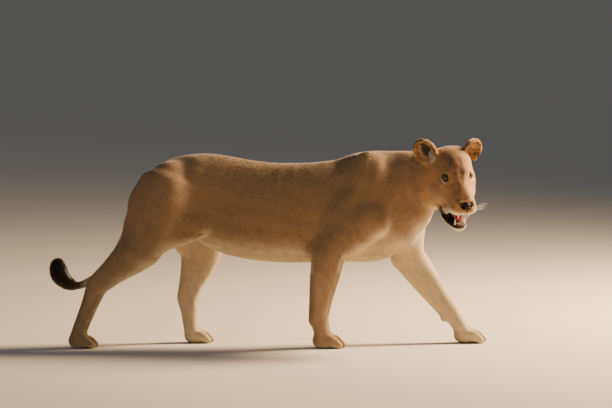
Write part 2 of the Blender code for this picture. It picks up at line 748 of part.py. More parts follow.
# Colours: red, green and blue as light, roughness
COLOURS = {
    "tawny_coat": ((0.42, 0.26, 0.13), 0.85),
    "pale_coat": ((0.62, 0.46, 0.30), 0.85),
    "ear_coat": ((0.30, 0.17, 0.08), 0.85),
    "black_tuft": ((0.02, 0.016, 0.013), 0.8),
    "amber_eye": ((0.30, 0.15, 0.04), 0.15),
    "ivory_tooth": ((0.75, 0.66, 0.48), 0.35),
    "pink_tongue": ((0.55, 0.16, 0.13), 0.5),
}
COLOUR_OF = {"eye": "amber_eye", "canine": "ivory_tooth", "tongue": "pink_tongue", "tail_tuft": "black_tuft"}
COLOUR_OF.update({"ear": "ear_coat", "jaw": "pale_coat", "belly": "pale_coat"})


def colour_pieces():
    materials = {}
    for name, (colour, roughness) in COLOURS.items():
        material = bpy.data.materials.new(name)
        material.use_nodes = True
        surface = material.node_tree.nodes["Principled BSDF"]
        surface.inputs["Base Color"].default_value = (*colour, 1)
        surface.inputs["Roughness"].default_value = roughness
        surface.inputs["Metallic"].default_value = 0.0
        material.diffuse_color = (*colour, 1)
        materials[name] = material
    for piece in lioness.objects:
        chosen = [colour for start, colour in COLOUR_OF.items() if piece.name.startswith(start)]
        piece.data.materials.clear()
        piece.data.materials.append(materials[chosen[0] if chosen else "tawny_coat"])


def stand_at_origin():
    """Moves the whole to stand over the origin: the middle of its length and width, floor at 0."""
    points = [vertex.co for piece in lioness.objects for vertex in piece.data.vertices]
    low = Vector([min(point[axis] for point in points) for axis in range(3)])
    high = Vector([max(point[axis] for point in points) for axis in range(3)])
    shift = Matrix.Translation((-(low.x + high.x) / 2, -(low.y + high.y) / 2, -low.z))
    for piece in lioness.objects:
        piece.data.transform(shift)


def clear_scene():
    for thing in list(bpy.data.objects):
        bpy.data.objects.remove(thing)


clear_scene()
lioness = bpy.data.collections.new("lioness")
cutters = bpy.data.collections.new("cutters")
bpy.context.scene.collection.children.link(lioness)
bpy.context.scene.collection.children.link(cutters)
whole = whole_body(lioness)
seat_mouth_and_eyes(whole)
part_head(whole)
part_tail(whole)
part_legs(whole)
part_trunk(whole)
colour_pieces()
stand_at_origin()
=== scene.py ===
"""A lioness in mid stride at life size, finished as a museum model.

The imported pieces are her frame. One skin is drawn over all the pieces of flesh, inside them
by the depth of her coat, and carries the folds, lids and markings. The coat lies over it as
solid tufts that share its markings. Eyes, teeth, tongue and whiskers are pieces of their own.
"""

import math

import bmesh
import bpy
import numpy as np
from mathutils import Matrix, Vector
from mathutils.bvhtree import BVHTree


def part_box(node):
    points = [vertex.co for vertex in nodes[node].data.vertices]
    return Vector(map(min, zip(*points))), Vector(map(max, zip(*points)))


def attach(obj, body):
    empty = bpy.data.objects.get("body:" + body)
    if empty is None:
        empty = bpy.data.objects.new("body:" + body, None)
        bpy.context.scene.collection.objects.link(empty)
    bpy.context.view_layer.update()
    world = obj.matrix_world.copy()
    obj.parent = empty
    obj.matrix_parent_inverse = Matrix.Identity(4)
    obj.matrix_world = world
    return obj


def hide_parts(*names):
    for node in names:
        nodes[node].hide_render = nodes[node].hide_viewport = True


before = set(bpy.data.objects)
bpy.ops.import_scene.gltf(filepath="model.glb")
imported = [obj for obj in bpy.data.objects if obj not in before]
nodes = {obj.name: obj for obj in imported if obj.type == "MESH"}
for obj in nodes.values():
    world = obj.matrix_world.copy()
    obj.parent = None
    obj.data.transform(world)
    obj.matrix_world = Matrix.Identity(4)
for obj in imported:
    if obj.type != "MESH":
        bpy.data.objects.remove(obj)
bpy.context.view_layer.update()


# Landmarks ----------------------------------------------------------------------------
# Where things are on her, read from the frame, as a sculptor marks them on an armature: the
# middle of each piece, and the head's own axes, x to the nose, y to her left and z up, from
# between the eyes.
def middle_of(name):
    """The middle of a node's surface."""
    form = bmesh.new()
    form.from_mesh(nodes[name].data)
    whole = sum(face.calc_area() for face in form.faces)
    centre = sum((face.calc_center_median() * face.calc_area() for face in form.faces), Vector()) / whole
    form.free()
    return centre


SIDES = {"left": 1, "right": -1}  # which way along y each of her sides lies
FANGS_BELOW_SIGHT = math.radians(46.6)  # how far below the line of sight the fangs stand
EYE = Vector((-0.012, 0.0525, 0.002))  # the left eye's centre, in the head's axes
EYE_RADIUS = 0.0190


def head_axes():
    """The frame of the head, found from its eyes and upper fangs."""
    left, right = middle_of("eye_left"), middle_of("eye_right")
    fangs = (middle_of("canine_upper_left") + middle_of("canine_upper_right")) / 2
    across = (left - right).normalized()
    to_fangs = fangs - (left + right) / 2
    to_fangs = (to_fangs - across * to_fangs.dot(across)).normalized()
    ahead = Matrix.Rotation(-FANGS_BELOW_SIGHT, 3, across) @ to_fangs
    up = ahead.cross(across)
    turn = Matrix((ahead, across, up)).transposed().to_4x4()
    middle = (left + right) / 2
    return Matrix.Translation(middle - ahead * EYE.x - up * EYE.z) @ turn


HEAD = head_axes()


def moved(matrix, points):
    """An array of points carried by a matrix."""
    turn = np.array(matrix.to_3x3())
    return points @ turn.T + np.array(matrix.translation)


def in_head(points):
    """Points in the head's axes."""
    return moved(HEAD.inverted(), points)


def step(value, low, high):
    """0 at the low value, 1 at the high one, with an eased rise between."""
    share = np.clip((value - low) / (high - low), 0.0, 1.0)
    return share * share * (3 - 2 * share)


def radii_away(points, centre, radii):
    """How far points lie from a centre, counted in the radii of an ellipsoid round it."""
    return np.sqrt((((points - np.array(centre)) / np.array(radii)) ** 2).sum(axis=1))


EAR_SPLAY = math.radians(26)  # the ears' cups turn out from the nose
EAR_LEAN = {"right": math.radians(24), "left": math.radians(16)}
EAR_REACH = (0.050, 0.068, 0.072)  # half its depth, width and height, with some air round it


def ear_axes(side):
    """The frame of an ear: x out of its cup, y to her left, z up to its tip."""
    out = SIDES[side]
    turn = Matrix.Rotation(out * EAR_SPLAY, 3, "Z") @ Matrix.Rotation(-out * EAR_LEAN[side], 3, "X")
    turn = HEAD.to_3x3() @ turn
    return Matrix.Translation(middle_of("ear_" + side)) @ turn.to_4x4()


EAR_AXES = {side: ear_axes(side) for side in SIDES}


def in_ear(points, side):
    """Points in an ear's axes, and the share of each that is the ear's."""
    at = moved(EAR_AXES[side].inverted(), points)
    return at, 1 - step(radii_away(at, (0, 0, 0), EAR_REACH), 0.95, 1.2)


# Skin ---------------------------------------------------------------------------------
# The hide of the whole animal, closed and without a seam. It lies under the outline of the
# solids by the depth of the hair that covers it: deepest on the trunk, least on the ears.
FLESH = [name for name in nodes if name.split("_")[0] not in ("eye", "canine", "tongue")]
GRAIN = 0.0034  # spacing of the skin's points
BRIDGE = 0.0005  # pieces grow by this much to close the cuts between them
SKIN_TRIANGLES = 196000
BODY_ROUNDS, FACE_ROUNDS = 60, 9  # how often the facets of the solids are evened out
FACE_CENTRE, FACE_REACH = (0.0, 0.0, -0.055), (0.20, 0.17, 0.205)  # in the head's axes
# Depth of the coat on the trunk, how much less it is on the lower legs, and on face and ears
TRUNK_DEPTH, LEG_LESS, FACE_DEPTH, EAR_DEPTH = 0.0055, 0.0025, 0.0025, 0.0006
# Where the skin is drawn finer, in the head's axes: centre, reach and times halved
FINE_PARTS = (
    ((0.050, 0.040, -0.140), (0.110, 0.050, 0.085), 1),  # lips and nose
    ((0.004, 0.058, 0.002), (0.034, 0.030, 0.024), 1),  # eye
    ((0.004, 0.058, 0.002), (0.026, 0.024, 0.017), 2),  # its lids
)


def values_of(items, field, each=3, kind=float):
    """A field of a mesh's points, edges or corners, each of which holds so many numbers."""
    values = np.empty(len(items) * each, dtype=kind)
    items.foreach_get(field, values)
    return values


def points_of(mesh):
    """Where a mesh's points are."""
    return values_of(mesh.vertices, "co").reshape(-1, 3)


def normals_of(mesh):
    """Which way a mesh faces at its points."""
    return values_of(mesh.vertex_normals, "vector").reshape(-1, 3)


def edges_of(mesh):
    """The two points of each edge of a mesh."""
    return values_of(mesh.edges, "vertices", 2, np.int64).reshape(-1, 2)


def corners_of(mesh):
    """The three corners of each face of a mesh of triangles."""
    return values_of(mesh.loops, "vertex_index", 1, np.int64).reshape(-1, 3)


def mesh_from(form, name):
    """Ends a bmesh and leaves what it held as a mesh."""
    mesh = bpy.data.meshes.new(name)
    form.to_mesh(mesh)
    form.free()
    return mesh


def finished(thing):
    """The object's mesh with its modifiers applied, which are then cleared."""
    graph = bpy.context.evaluated_depsgraph_get()
    mesh = bpy.data.meshes.new_from_object(thing.evaluated_get(graph))
    thing.modifiers.clear()
    thing.data = mesh
    return mesh


def new_object(name, data):
    """An object of the given data, in the scene."""
    thing = bpy.data.objects.new(name, data)
    bpy.context.scene.collection.objects.link(thing)
    return thing


def relaxed(points, edges, shares, rounds):
    """Points evened out over their neighbours: a round moves each 0.6 of the way by its share."""
    count = len(points)
    near = np.bincount(edges.ravel(), minlength=count)[:, None]
    points = points.copy()
    for _ in range(rounds):
        total = np.zeros_like(points)
        for axis in range(3):
            total[:, axis] += np.bincount(edges[:, 0], points[edges[:, 1], axis], count)
            total[:, axis] += np.bincount(edges[:, 1], points[edges[:, 0], axis], count)
        points += (total / near - points) * shares[:, None] * 0.6
    return points


def face_share(points):
    """1 on the face and ears, falling to 0 on the neck."""
    return 1 - step(radii_away(in_head(points), FACE_CENTRE, FACE_REACH), 0.85, 1.15)


def ear_share(points):
    """1 on the thin shells of the ears."""
    shells = np.maximum(in_ear(points, "left")[1], in_ear(points, "right")[1])
    return shells * step(in_head(points)[:, 2], 0.0, 0.03)


def coat_depth(points):
    """How deep the coat is over each point of the skin."""
    depth = TRUNK_DEPTH - LEG_LESS * (1 - step(points[:, 2], 0.05, 0.40))
    depth = depth * (0.1 + 0.9 * step(points[:, 2], 0.004, 0.030))
    depth = depth + (FACE_DEPTH - depth) * face_share(points)
    return depth + (EAR_DEPTH - depth) * ear_share(points)


def mirrored(points):
    """Points with those of her right side moved over to her left."""
    return np.stack([points[:, 0], np.abs(points[:, 1]), points[:, 2]], axis=1)


def fine_points(points, halved=1):
    """Which points lie where the skin's faces are halved for the first or second time."""
    mirror = mirrored(in_head(points))
    marks = np.zeros(len(points), dtype=bool)
    for centre, reach, times in FINE_PARTS:
        if times == halved:
            marks |= radii_away(mirror, centre, reach) < 1
    return marks


def refine(mesh):
    """Halves the faces of the skin round the eyes, nose and lips, and again at the lids."""
    for halved in (1, 2):
        fine = fine_points(points_of(mesh), halved)
        form = bmesh.new()
        form.from_mesh(mesh)
        edges = [edge for edge in form.edges if fine[edge.verts[0].index] and fine[edge.verts[1].index]]
        bmesh.ops.subdivide_edges(form, edges=edges, cuts=1, use_grid_fill=True)
        form.to_mesh(mesh)
        form.free()
        points = points_of(mesh)
        fine = fine_points(points, halved).astype(float)
        mesh.vertices.foreach_set("co", relaxed(points, edges_of(mesh), fine, 3).ravel())
    mesh.update()


def drawn_skin():
    """One closed mesh over all the flesh, smooth where the solids have facets."""
    form = bmesh.new()
    for name in FLESH + ["eye_left", "eye_right"]:
        form.from_mesh(nodes[name].data)
    bmesh.ops.remove_doubles(form, verts=form.verts, dist=0.00001)
    form.normal_update()
    for vertex in form.verts:
        vertex.co += vertex.normal * BRIDGE
    skin = new_object("skin", mesh_from(form, "skin"))
    wrap = skin.modifiers.new("wrap", "REMESH")
    wrap.mode = "VOXEL"
    wrap.voxel_size = GRAIN
    mesh = finished(skin)
    points, edges = points_of(mesh), edges_of(mesh)
    ears = ear_share(points)
    at = in_head(points)
    face = np.maximum(face_share(points) * step(at[:, 0], -0.13, -0.07), ears)
    kept = np.maximum(ears, step(-at[:, 2], 0.150, 0.175) * face)
    slim = np.maximum(1 - step(points[:, 2], 0.10, 0.46), step(-points[:, 0], 0.60, 0.66))
    points = relaxed(points, edges, (1 - face) * (1 - 0.70 * slim), BODY_ROUNDS)
    points = relaxed(points, edges, (0.6 * face + 0.4) * (1 - 0.75 * kept), FACE_ROUNDS)
    mesh.vertices.foreach_set("co", points.ravel())
    mesh.update()
    normals = normals_of(mesh)
    points = points - normals * coat_depth(points)[:, None]
    mesh.vertices.foreach_set("co", points.ravel())
    refine(mesh)
    return skin


# Folds of the face in the head's axes, for her left side: centre, size, and how far the skin
# stands out there.
FACE_FORMS = (
    ((0.006, 0.046, 0.030), (0.026, 0.030, 0.011), 0.0030),  # brow
    ((0.032, 0.034, -0.012), (0.016, 0.010, 0.012), -0.0055),  # hollow before the eye
    ((0.004, 0.066, -0.030), (0.030, 0.014, 0.014), 0.0020),  # cheek bone
    ((0.056, 0.046, -0.066), (0.022, 0.010, 0.020), -0.0030),  # behind the whisker pad
    ((0.110, 0.036, -0.102), (0.026, 0.020, 0.018), 0.0035),  # whisker pad
    ((0.145, 0.018, -0.071), (0.012, 0.0085, 0.0050), -0.0095),  # nostril
    ((0.136, 0.031, -0.074), (0.014, 0.0060, 0.0035), -0.0050),  # slit at its side
    ((0.138, 0.029, -0.061), (0.012, 0.009, 0.006), 0.0035),  # wing of the nose
    ((0.120, 0.0, -0.046), (0.016, 0.060, 0.006), -0.0020),  # behind the nose's upper edge
)
# Those without a twin on her other side
LONE_FORMS = (
    ((0.147, 0.0, -0.066), (0.012, 0.012, 0.012), 0.0045),  # nose pad
    ((0.143, 0.0, -0.100), (0.022, 0.0028, 0.020), -0.0055),  # cleft of the lip
    ((0.030, 0.0, 0.018), (0.040, 0.012, 0.020), -0.0015),  # furrow of the brow
    ((0.070, -0.010, -0.226), (0.040, 0.034, 0.018), 0.0065),  # chin
    ((-0.160, 0.110, -0.045), (0.070, 0.050, 0.085), -0.0100),  # where the turned neck folds
)
EYE_OUT, EYE_UP = math.radians(21), math.radians(4)  # how far the eyes face out and up
LID_SLANT = math.radians(20)  # the inner corner of the eye lies lower
LID_HALF_LENGTH, LID_HALF_HEIGHT, LID_THICKNESS = 0.0192, 0.0090, 0.0020


def eye_axes(side):
    """The frame of an eye: x out along its gaze, y to her left, z up."""
    out = SIDES[side]
    centre = Vector((EYE.x, out * EYE.y, EYE.z))
    turn = Matrix.Rotation(out * EYE_OUT, 4, "Z") @ Matrix.Rotation(-EYE_UP, 4, "Y")
    slant = Matrix.Rotation(out * LID_SLANT, 4, "X")
    return HEAD @ Matrix.Translation(centre) @ turn @ slant


def lid_distance(points, side):
    """How far points in an eye's frame are past the opening of its lids, from -1 inside."""
    along = points[:, 1] * SIDES[side] / LID_HALF_LENGTH
    height = LID_HALF_HEIGHT * np.sqrt(np.clip(1 - along**2, 0.0001, 1.0)) * (1 - 0.15 * along)
    return np.maximum(np.abs(points[:, 2]) / height, np.abs(along)) - 1


def set_lids(points):
    """Lays the skin over the eyes as lids, open in an almond."""
    for side in SIDES:
        frame_of_eye = eye_axes(side)
        at = moved(frame_of_eye.inverted(), points)
        reach = np.linalg.norm(at, axis=1)
        ahead = at[:, 0] / np.maximum(reach, 1e-6)
        hold = (1 - step(reach, 0.034, 0.046)) * step(ahead, 0.10, 0.45)
        past = lid_distance(at, side)
        rim = EYE_RADIUS + LID_THICKNESS
        depth = rim - 0.0075 * (1 - step(past, -0.12, 0.06))
        depth = depth + (np.maximum(reach, rim) - depth) * step(past, 0.25, 1.20)
        laid = at / np.maximum(reach, 1e-6)[:, None] * depth[:, None]
        at = at + (laid - at) * hold[:, None]
        points = np.where((hold > 0)[:, None], moved(frame_of_eye, at), points)
    return points


# Muscles and folds of the body seen from her right: the course of each along her and up, half
# its width, how far the skin stands out on it, and the part whose swing it follows.
BODY_LINES = (
    # Creases behind and before the shoulder, its blade, and the top of the withers
    (((0.345, 0.880), (0.285, 0.690), (0.232, 0.510), (0.196, 0.400)), 0.036, -0.0060, "shoulder_"),
    (((0.560, 0.860), (0.505, 0.700), (0.455, 0.520)), 0.036, -0.0050, "shoulder_"),
    (((0.440, 0.890), (0.370, 0.700), (0.350, 0.600)), 0.024, 0.0050, "shoulder_"),
    (((0.430, 0.900), (0.400, 0.900)), 0.042, 0.0060, ""),
    # Elbow, and the sinews of the forearm
    (((0.181, 0.400), (0.192, 0.385)), 0.030, 0.0060, "shoulder_"),
    (((0.338, 0.420), (0.300, 0.290), (0.262, 0.160)), 0.012, -0.0030, "forearm_"),
    (((0.230, 0.330), (0.236, 0.220)), 0.016, -0.0030, "forearm_"),
    # Hollow of the flank, point of the hip, fold and muscles of the thigh, and the heel's sinew
    (((-0.290, 0.640), (-0.285, 0.540)), 0.055, -0.0090, ""),
    (((-0.325, 0.815), (-0.345, 0.800)), 0.040, 0.0060, ""),
    (((-0.335, 0.780), (-0.345, 0.660), (-0.345, 0.560)), 0.022, 0.0040, "thigh_"),
    (((-0.545, 0.800), (-0.600, 0.610), (-0.665, 0.445)), 0.022, -0.0060, "thigh_"),
    (((-0.440, 0.700), (-0.480, 0.560), (-0.560, 0.430)), 0.040, 0.0050, "thigh_"),
    (((-0.760, 0.250), (-0.815, 0.170)), 0.010, -0.0030, "hock_"),
    # Folds of the turned neck, then of the loose skin over the ribs
    (((0.655, 0.820), (0.672, 0.700), (0.660, 0.620)), 0.018, -0.0035, ""),
    (((0.610, 0.800), (0.622, 0.680), (0.600, 0.600)), 0.018, -0.0025, ""),
    (((0.150, 0.780), (0.110, 0.640), (0.100, 0.540)), 0.016, -0.0015, ""),
    (((0.080, 0.780), (0.040, 0.640), (0.030, 0.540)), 0.016, -0.0015, ""),
    (((0.010, 0.780), (-0.030, 0.640), (-0.040, 0.540)), 0.016, -0.0015, ""),
)


def distance_aside(points, course):
    """How far points lie from a course, seen from the side."""
    away = np.full(len(points), 9.0)
    flat = points[:, (0, 2)]
    for start, end in zip(course, course[1:]):
        along = end - start
        share = np.clip((flat - start) @ along / (along @ along), 0.0, 1.0)
        away = np.minimum(away, np.linalg.norm(flat - start - share[:, None] * along, axis=1))
    return away


def body_rise(points, normals):
    """How far the skin of the body stands out at its muscles and folds."""
    rise = np.zeros(len(points))
    middle = middle_of("belly").y
    for side, out in SIDES.items():
        here = step(out * normals[:, 1], 0.25, 0.75) * step(out * (points[:, 1] - middle), 0.0, 0.03)
        for course, half, height, part in BODY_LINES:
            spots = np.array(course)
            if part:
                swing = middle_of(part + side) - middle_of(part + "right")
                lower = np.clip((0.90 - spots[:, 1]) / (0.90 - middle_of(part + "right").z), 0.0, 1.5)
                spots = spots + lower[:, None] * (swing.x, 0)
            rise += height * here * (1 - step(distance_aside(points, spots), half * 0.3, half * 1.6))
    return rise * (1 - face_share(points))


PAWS = [name for name in nodes if "paw" in name]


def toe_furrows(points):
    """1 in the three furrows between the toes of each paw."""
    furrow = np.zeros(len(points))
    for name in PAWS:
        low, high = (np.array(corner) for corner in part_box(name))
        ahead = step(points[:, 0], high[0] - 0.075, high[0] - 0.045) * (points[:, 2] < high[2] + 0.02)
        ahead = ahead * (points[:, 0] < high[0] + 0.01)
        for place in (-1, 0, 1):
            aside = np.abs(points[:, 1] - (low[1] + high[1]) / 2 - place * (high[1] - low[1]) * 0.235)
            furrow = np.maximum(furrow, ahead * (1 - step(aside, 0.0015, 0.0085)))
    return furrow * step(points[:, 2], 0.002, 0.010)


def spot(points, centre, radii):
    """1 at a centre, easing to 0 at about one and a half radii."""
    return 1 - step(radii_away(points, centre, radii), 0.35, 1.5)


def folded(points, normals):
    """The skin with the muscles of the body, the toes and the folds of the face."""
    at = in_head(points)
    rise = body_rise(points, normals) - 0.0065 * toe_furrows(points)
    for centre, size, height in FACE_FORMS:
        for side in (1, -1):
            rise += height * spot(at, (centre[0], side * centre[1], centre[2]), size)
    for centre, size, height in LONE_FORMS:
        rise += height * spot(at, centre, size)
    return points + normals * rise[:, None]


skin = drawn_skin()
shape = skin.data
shape.vertices.foreach_set("co", folded(points_of(shape), normals_of(shape)).ravel())
shape.vertices.foreach_set("co", set_lids(points_of(shape)).ravel())
shape.update()
skin_points, skin_normals = points_of(shape), normals_of(shape)


# Markings -----------------------------------------------------------------------------
# A lioness has a plain tawny coat, darker along the back and on the crown, pale under the
# belly, inside the legs and on the chin, with black on the lips, ears' backs and tail tuft.
# Some shade is painted in too: in the toe furrows and nostrils, below the lower lip, inside the mouth, in the
# near ear's hollow, down the tail and at the roots of the locks.
def linear(code):
    """An sRGB hex colour as linear red, green and blue."""
    parts = np.array([int(code[place : place + 2], 16) / 255 for place in (1, 3, 5)])
    return np.where(parts <= 0.04045, parts / 12.92, ((parts + 0.055) / 1.055) ** 2.4)


TAWNY, BACK, SAND, CREAM = linear("#947553"), linear("#7C644A"), linear("#BC9B74"), linear("#DFCAA6")
WHITE, ORANGE, BROWN, BLACK = linear("#EDE4D4"), linear("#B98550"), linear("#5C4130"), linear("#1B1512")
LEATHER, LIP, GUM = linear("#2C1F1C"), linear("#191211"), linear("#6A3832")

TRUNK_NODES = ("neck", "chest", "belly", "hindquarters")
LIMB_PIECES = (("shoulder_", "forearm_", "fore_paw_"), ("thigh_", "shank_", "hock_", "hind_paw_"))
TAIL_PIECES = ("tail_base", "tail_middle", "tail_end", "tail_tuft")
MIDDLES = {name: np.array(middle_of(name)) for name in nodes}
MIDLINE = MIDDLES["belly"][1]
TUFT_TOP = np.array(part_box("tail_tuft")[1])


def blend(colours, other, share):
    """Rows of values with another laid over them, each by its share."""
    return colours + (other - colours) * share[:, None]


def wave(points, size, seed):
    """A soft uneven pattern from -1 to 1 with patches of about the given size."""
    total = np.zeros(len(points))
    turns = np.random.default_rng(seed)
    for octave in range(3):
        for _ in range(4):
            along = turns.normal(size=3)
            along *= math.tau * 2**octave / (2 * size * np.linalg.norm(along))
            total += np.sin(points @ along + turns.uniform(0, math.tau)) / 2**octave
    return np.clip(total / 4, -1, 1)


def side_of(points, name):
    """How near points are to a node's middle, from 1 on it to 0 well past its box."""
    low, high = (np.array(corner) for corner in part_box(name))
    past = np.maximum(np.maximum(low - points, points - high), 0)
    return 1 - step(np.linalg.norm(past, axis=1), 0.0, 0.03)


def markings(points, normals):
    """The colour of the coat or skin at each point."""
    side = np.sign(points[:, 1] - MIDLINE)
    outward = normals[:, 1] * side
    height = points[:, 2]
    colour = np.repeat(TAWNY[None], len(points), axis=0)
    colour = blend(colour, BACK, step(normals[:, 2], 0.35, 0.9) * step(height, 0.55, 0.75) * 0.75)
    low = 1 - step(height, 0.22, 0.52)
    colour = blend(colour, SAND, low * 0.60)
    shaded = step(-normals[:, 0], 0.20, 0.80) * low * step(height, 0.05, 0.15)
    colour = blend(colour, BACK, shaded * 0.45)
    under = step(-normals[:, 2], 0.10, 0.75) * (1 - step(height, 0.60, 0.70))
    colour = blend(colour, CREAM, under * 0.90)
    belly = np.maximum(side_of(points, "belly"), side_of(points, "chest")) * (1 - step(outward, 0.55, 0.90))
    colour = blend(colour, SAND, belly * (1 - step(height, 0.40, 0.60)) * 0.7)
    colour = blend(colour, CREAM, belly * (1 - step(height, 0.380, 0.450)) * 0.5)
    inside = step(-outward, 0.05, 0.55) * (1 - step(height, 0.50, 0.66))
    colour = blend(colour, CREAM, inside * 0.65)
    breast = step(normals[:, 0], 0.35, 0.85) * (1 - step(height, 0.50, 0.72)) * step(points[:, 0], 0.30, 0.45)
    colour = blend(colour, CREAM, breast * 0.55)
    colour = marked_tail(colour, points)
    colour = marked_head(colour, points, normals)
    # Painted shade in the furrows between the toes.
    colour = blend(colour, BROWN, toe_furrows(points) * 0.45)
    colour = blend(colour, LEATHER, (1 - step(height, 0.003, 0.008)) * 0.85)
    spots = step(wave(points, 0.020, 8), 0.18, 0.55) * (1 - step(height, 0.52, 0.66))
    colour = blend(colour, BROWN, spots * (1 - face_share(points)) * 0.16)
    mottle = wave(points, 0.045, 3) * 0.07 + wave(points, 0.012, 5) * 0.06
    return np.clip(colour * (1 + mottle[:, None]), 0.0, 1.0)


def marked_tail(colour, points):
    """The coat's colours with the tail darker to its end, partly its own hue and partly painted shade, and
    its brush black.
    """
    behind = step(-points[:, 0], 0.80, 0.85) * step(points[:, 2], 0.20, 0.24)
    # Painted shade: the tail past the hock is darkened brown beyond its own colour, as the shade it hangs in.
    colour = blend(colour, BROWN, behind * 0.75)
    tuft = side_of(points, "tail_tuft") * step(points[:, 2], TUFT_TOP[2] - 0.150, TUFT_TOP[2] - 0.100)
    return blend(colour, BLACK, tuft * behind)


# Upper edge of the lower jaw and lower edge of the upper lip, from the corner of the mouth on,
# in the head's axes
LIP_AHEAD = (-0.060, -0.020, 0.002, 0.040, 0.068, 0.088, 0.110)
LOWER_LIP = (-0.120, -0.138, -0.152, -0.168, -0.177, -0.182, -0.184)
UPPER_LIP = (-0.120, -0.140, -0.150, -0.152, -0.147, -0.137, -0.130)
MOUTH_CENTRE = (0.060, -0.010, -0.160)


NOSE_HEIGHTS = (-0.090, -0.084, -0.077, -0.064, -0.052)
NOSE_HALF_WIDTHS = (0.002, 0.008, 0.024, 0.036, 0.031)


def nose_share(at):
    """1 on the leather of the nose: wide above, narrow where it meets the cleft of the lip."""
    half = np.interp(at[:, 2], NOSE_HEIGHTS, NOSE_HALF_WIDTHS)
    sides = 1 - step(np.abs(at[:, 1]) - half, -0.0012, 0.0012)
    top = 1 - step(at[:, 2] + 0.10 * np.abs(at[:, 1]) + 0.40 * (0.150 - at[:, 0]), -0.049, -0.046)
    return sides * top * step(at[:, 0], 0.112, 0.118)


def lip_share(at, lean):
    """1 on the dark rims of the lips, with painted shadow under the lower one, and inside the mouth, where
    its dark skin is deepened by painted shade; found from places and directions.
    """
    jaw = np.interp(at[:, 0], LIP_AHEAD, LOWER_LIP)
    lip = np.interp(at[:, 0], LIP_AHEAD, UPPER_LIP)
    ahead = step(at[:, 0], -0.035, -0.015)
    # Painted shadow: the dark band below the lower lip reaches past the black lip itself, as the shadow under
    # the mouth.
    lip_and_shadow_drop = np.interp(at[:, 0], (0.020, 0.060, 0.090), (0.030, 0.026, 0.021))
    lower = step(at[:, 2], jaw - lip_and_shadow_drop - 0.004, jaw - lip_and_shadow_drop)
    lower = lower * (1 - step(at[:, 2], (jaw + lip) / 2, (jaw + lip) / 2 + 0.004))
    upper = step(-lean[:, 2], 0.35, 0.60) * (1 - step(at[:, 2], lip + 0.006, lip + 0.012))
    corner = (1 - step(at[:, 0], 0.022, 0.040)) * step(at[:, 2], jaw - 0.012, jaw - 0.006)
    corner = corner * (1 - step(at[:, 2], lip - 0.002, lip + 0.004))
    # Painted shade: the walls inside the mouth are laid nearly black, deeper than their own dark skin.
    inward = np.array(MOUTH_CENTRE) - at
    inside = step((lean * inward).sum(axis=1) / np.linalg.norm(inward, axis=1), -0.10, 0.15)
    inside = inside * step(at[:, 2], -0.234, -0.226) * (1 - step(at[:, 2], -0.140, -0.130))
    dark = np.maximum(np.maximum(lower, upper), np.maximum(corner, inside))
    return ahead * dark * (1 - step(np.abs(at[:, 1]), 0.085, 0.100))


def lids_share(points, past_from, past_to):
    """1 on the rims of the eyelids, easing to 0 between two distances past their opening."""
    share = np.zeros(len(points))
    for side in SIDES:
        at = moved(eye_axes(side).inverted(), points)
        near = (1 - step(np.linalg.norm(at, axis=1), 0.028, 0.034)) * (at[:, 0] > 0)
        share = np.maximum(share, near * (1 - step(lid_distance(at, side), past_from, past_to)))
    return share


def line_share(points, start, end, half):
    """1 along a line, easing to 0 from half its width to twice that."""
    start, along = np.array(start), np.array(end) - np.array(start)
    share = np.clip((points - start) @ along / (along @ along), 0.0, 1.0)
    away = np.linalg.norm(points - start - share[:, None] * along, axis=1)
    return 1 - step(away, half, 2 * half)


def bare_share(points, normals):
    """1 where the skin is bare: the nose, lips, inside of the mouth, lids' edges and soles."""
    at = in_head(points)
    bare = np.maximum(nose_share(at), lip_share(at, normals @ np.array(HEAD.to_3x3())))
    bare = np.maximum(bare, lids_share(points, 0.15, 0.35))
    return np.maximum(bare, 1 - step(points[:, 2], 0.004, 0.007))


# Marks of the face in the head's axes, for her left side. A patch has its centre and size, and
# a line its two ends and half its width.
CROWN = ((-0.04, 0.0, 0.07), (0.085, 0.055, 0.052))
BROW_LINE = ((0.022, 0.016, 0.026), (-0.060, 0.024, 0.085), 0.006)
FACE_PATCHES = (
    (SAND, 0.15, (0.040, 0.0, 0.005), (0.050, 0.013, 0.030)),  # between the eyes
    (BROWN, 0.25, (0.085, 0.0, -0.020), (0.060, 0.018, 0.020)),  # bridge of the nose
    (SAND, 0.45, (-0.03, 0.085, -0.105), (0.080, 0.050, 0.050)),  # cheek
)
WHISKER_PAD = ((0.104, 0.036, -0.112), (0.044, 0.036, 0.020))
WHISKER_SPOTS = ((0.098, 0.050, -0.103), (0.022, 0.030, 0.015))
LIP_LINE = ((0.125, 0.030, -0.125), (0.020, 0.062, -0.146), 0.010)
NOSTRIL_SHADE = ((0.141, 0.018, -0.071), (0.012, 0.0085, 0.0050))
CLEFT_LINE = ((0.150, 0.0, -0.080), (0.136, 0.0, -0.122), 0.0016)
TEAR_LINE = ((0.014, 0.041, -0.006), (0.046, 0.033, -0.044), 0.0036)
SPOT_SPACING = (0.0105, 0.0095)  # of the dark spots at the whiskers' roots, along and up


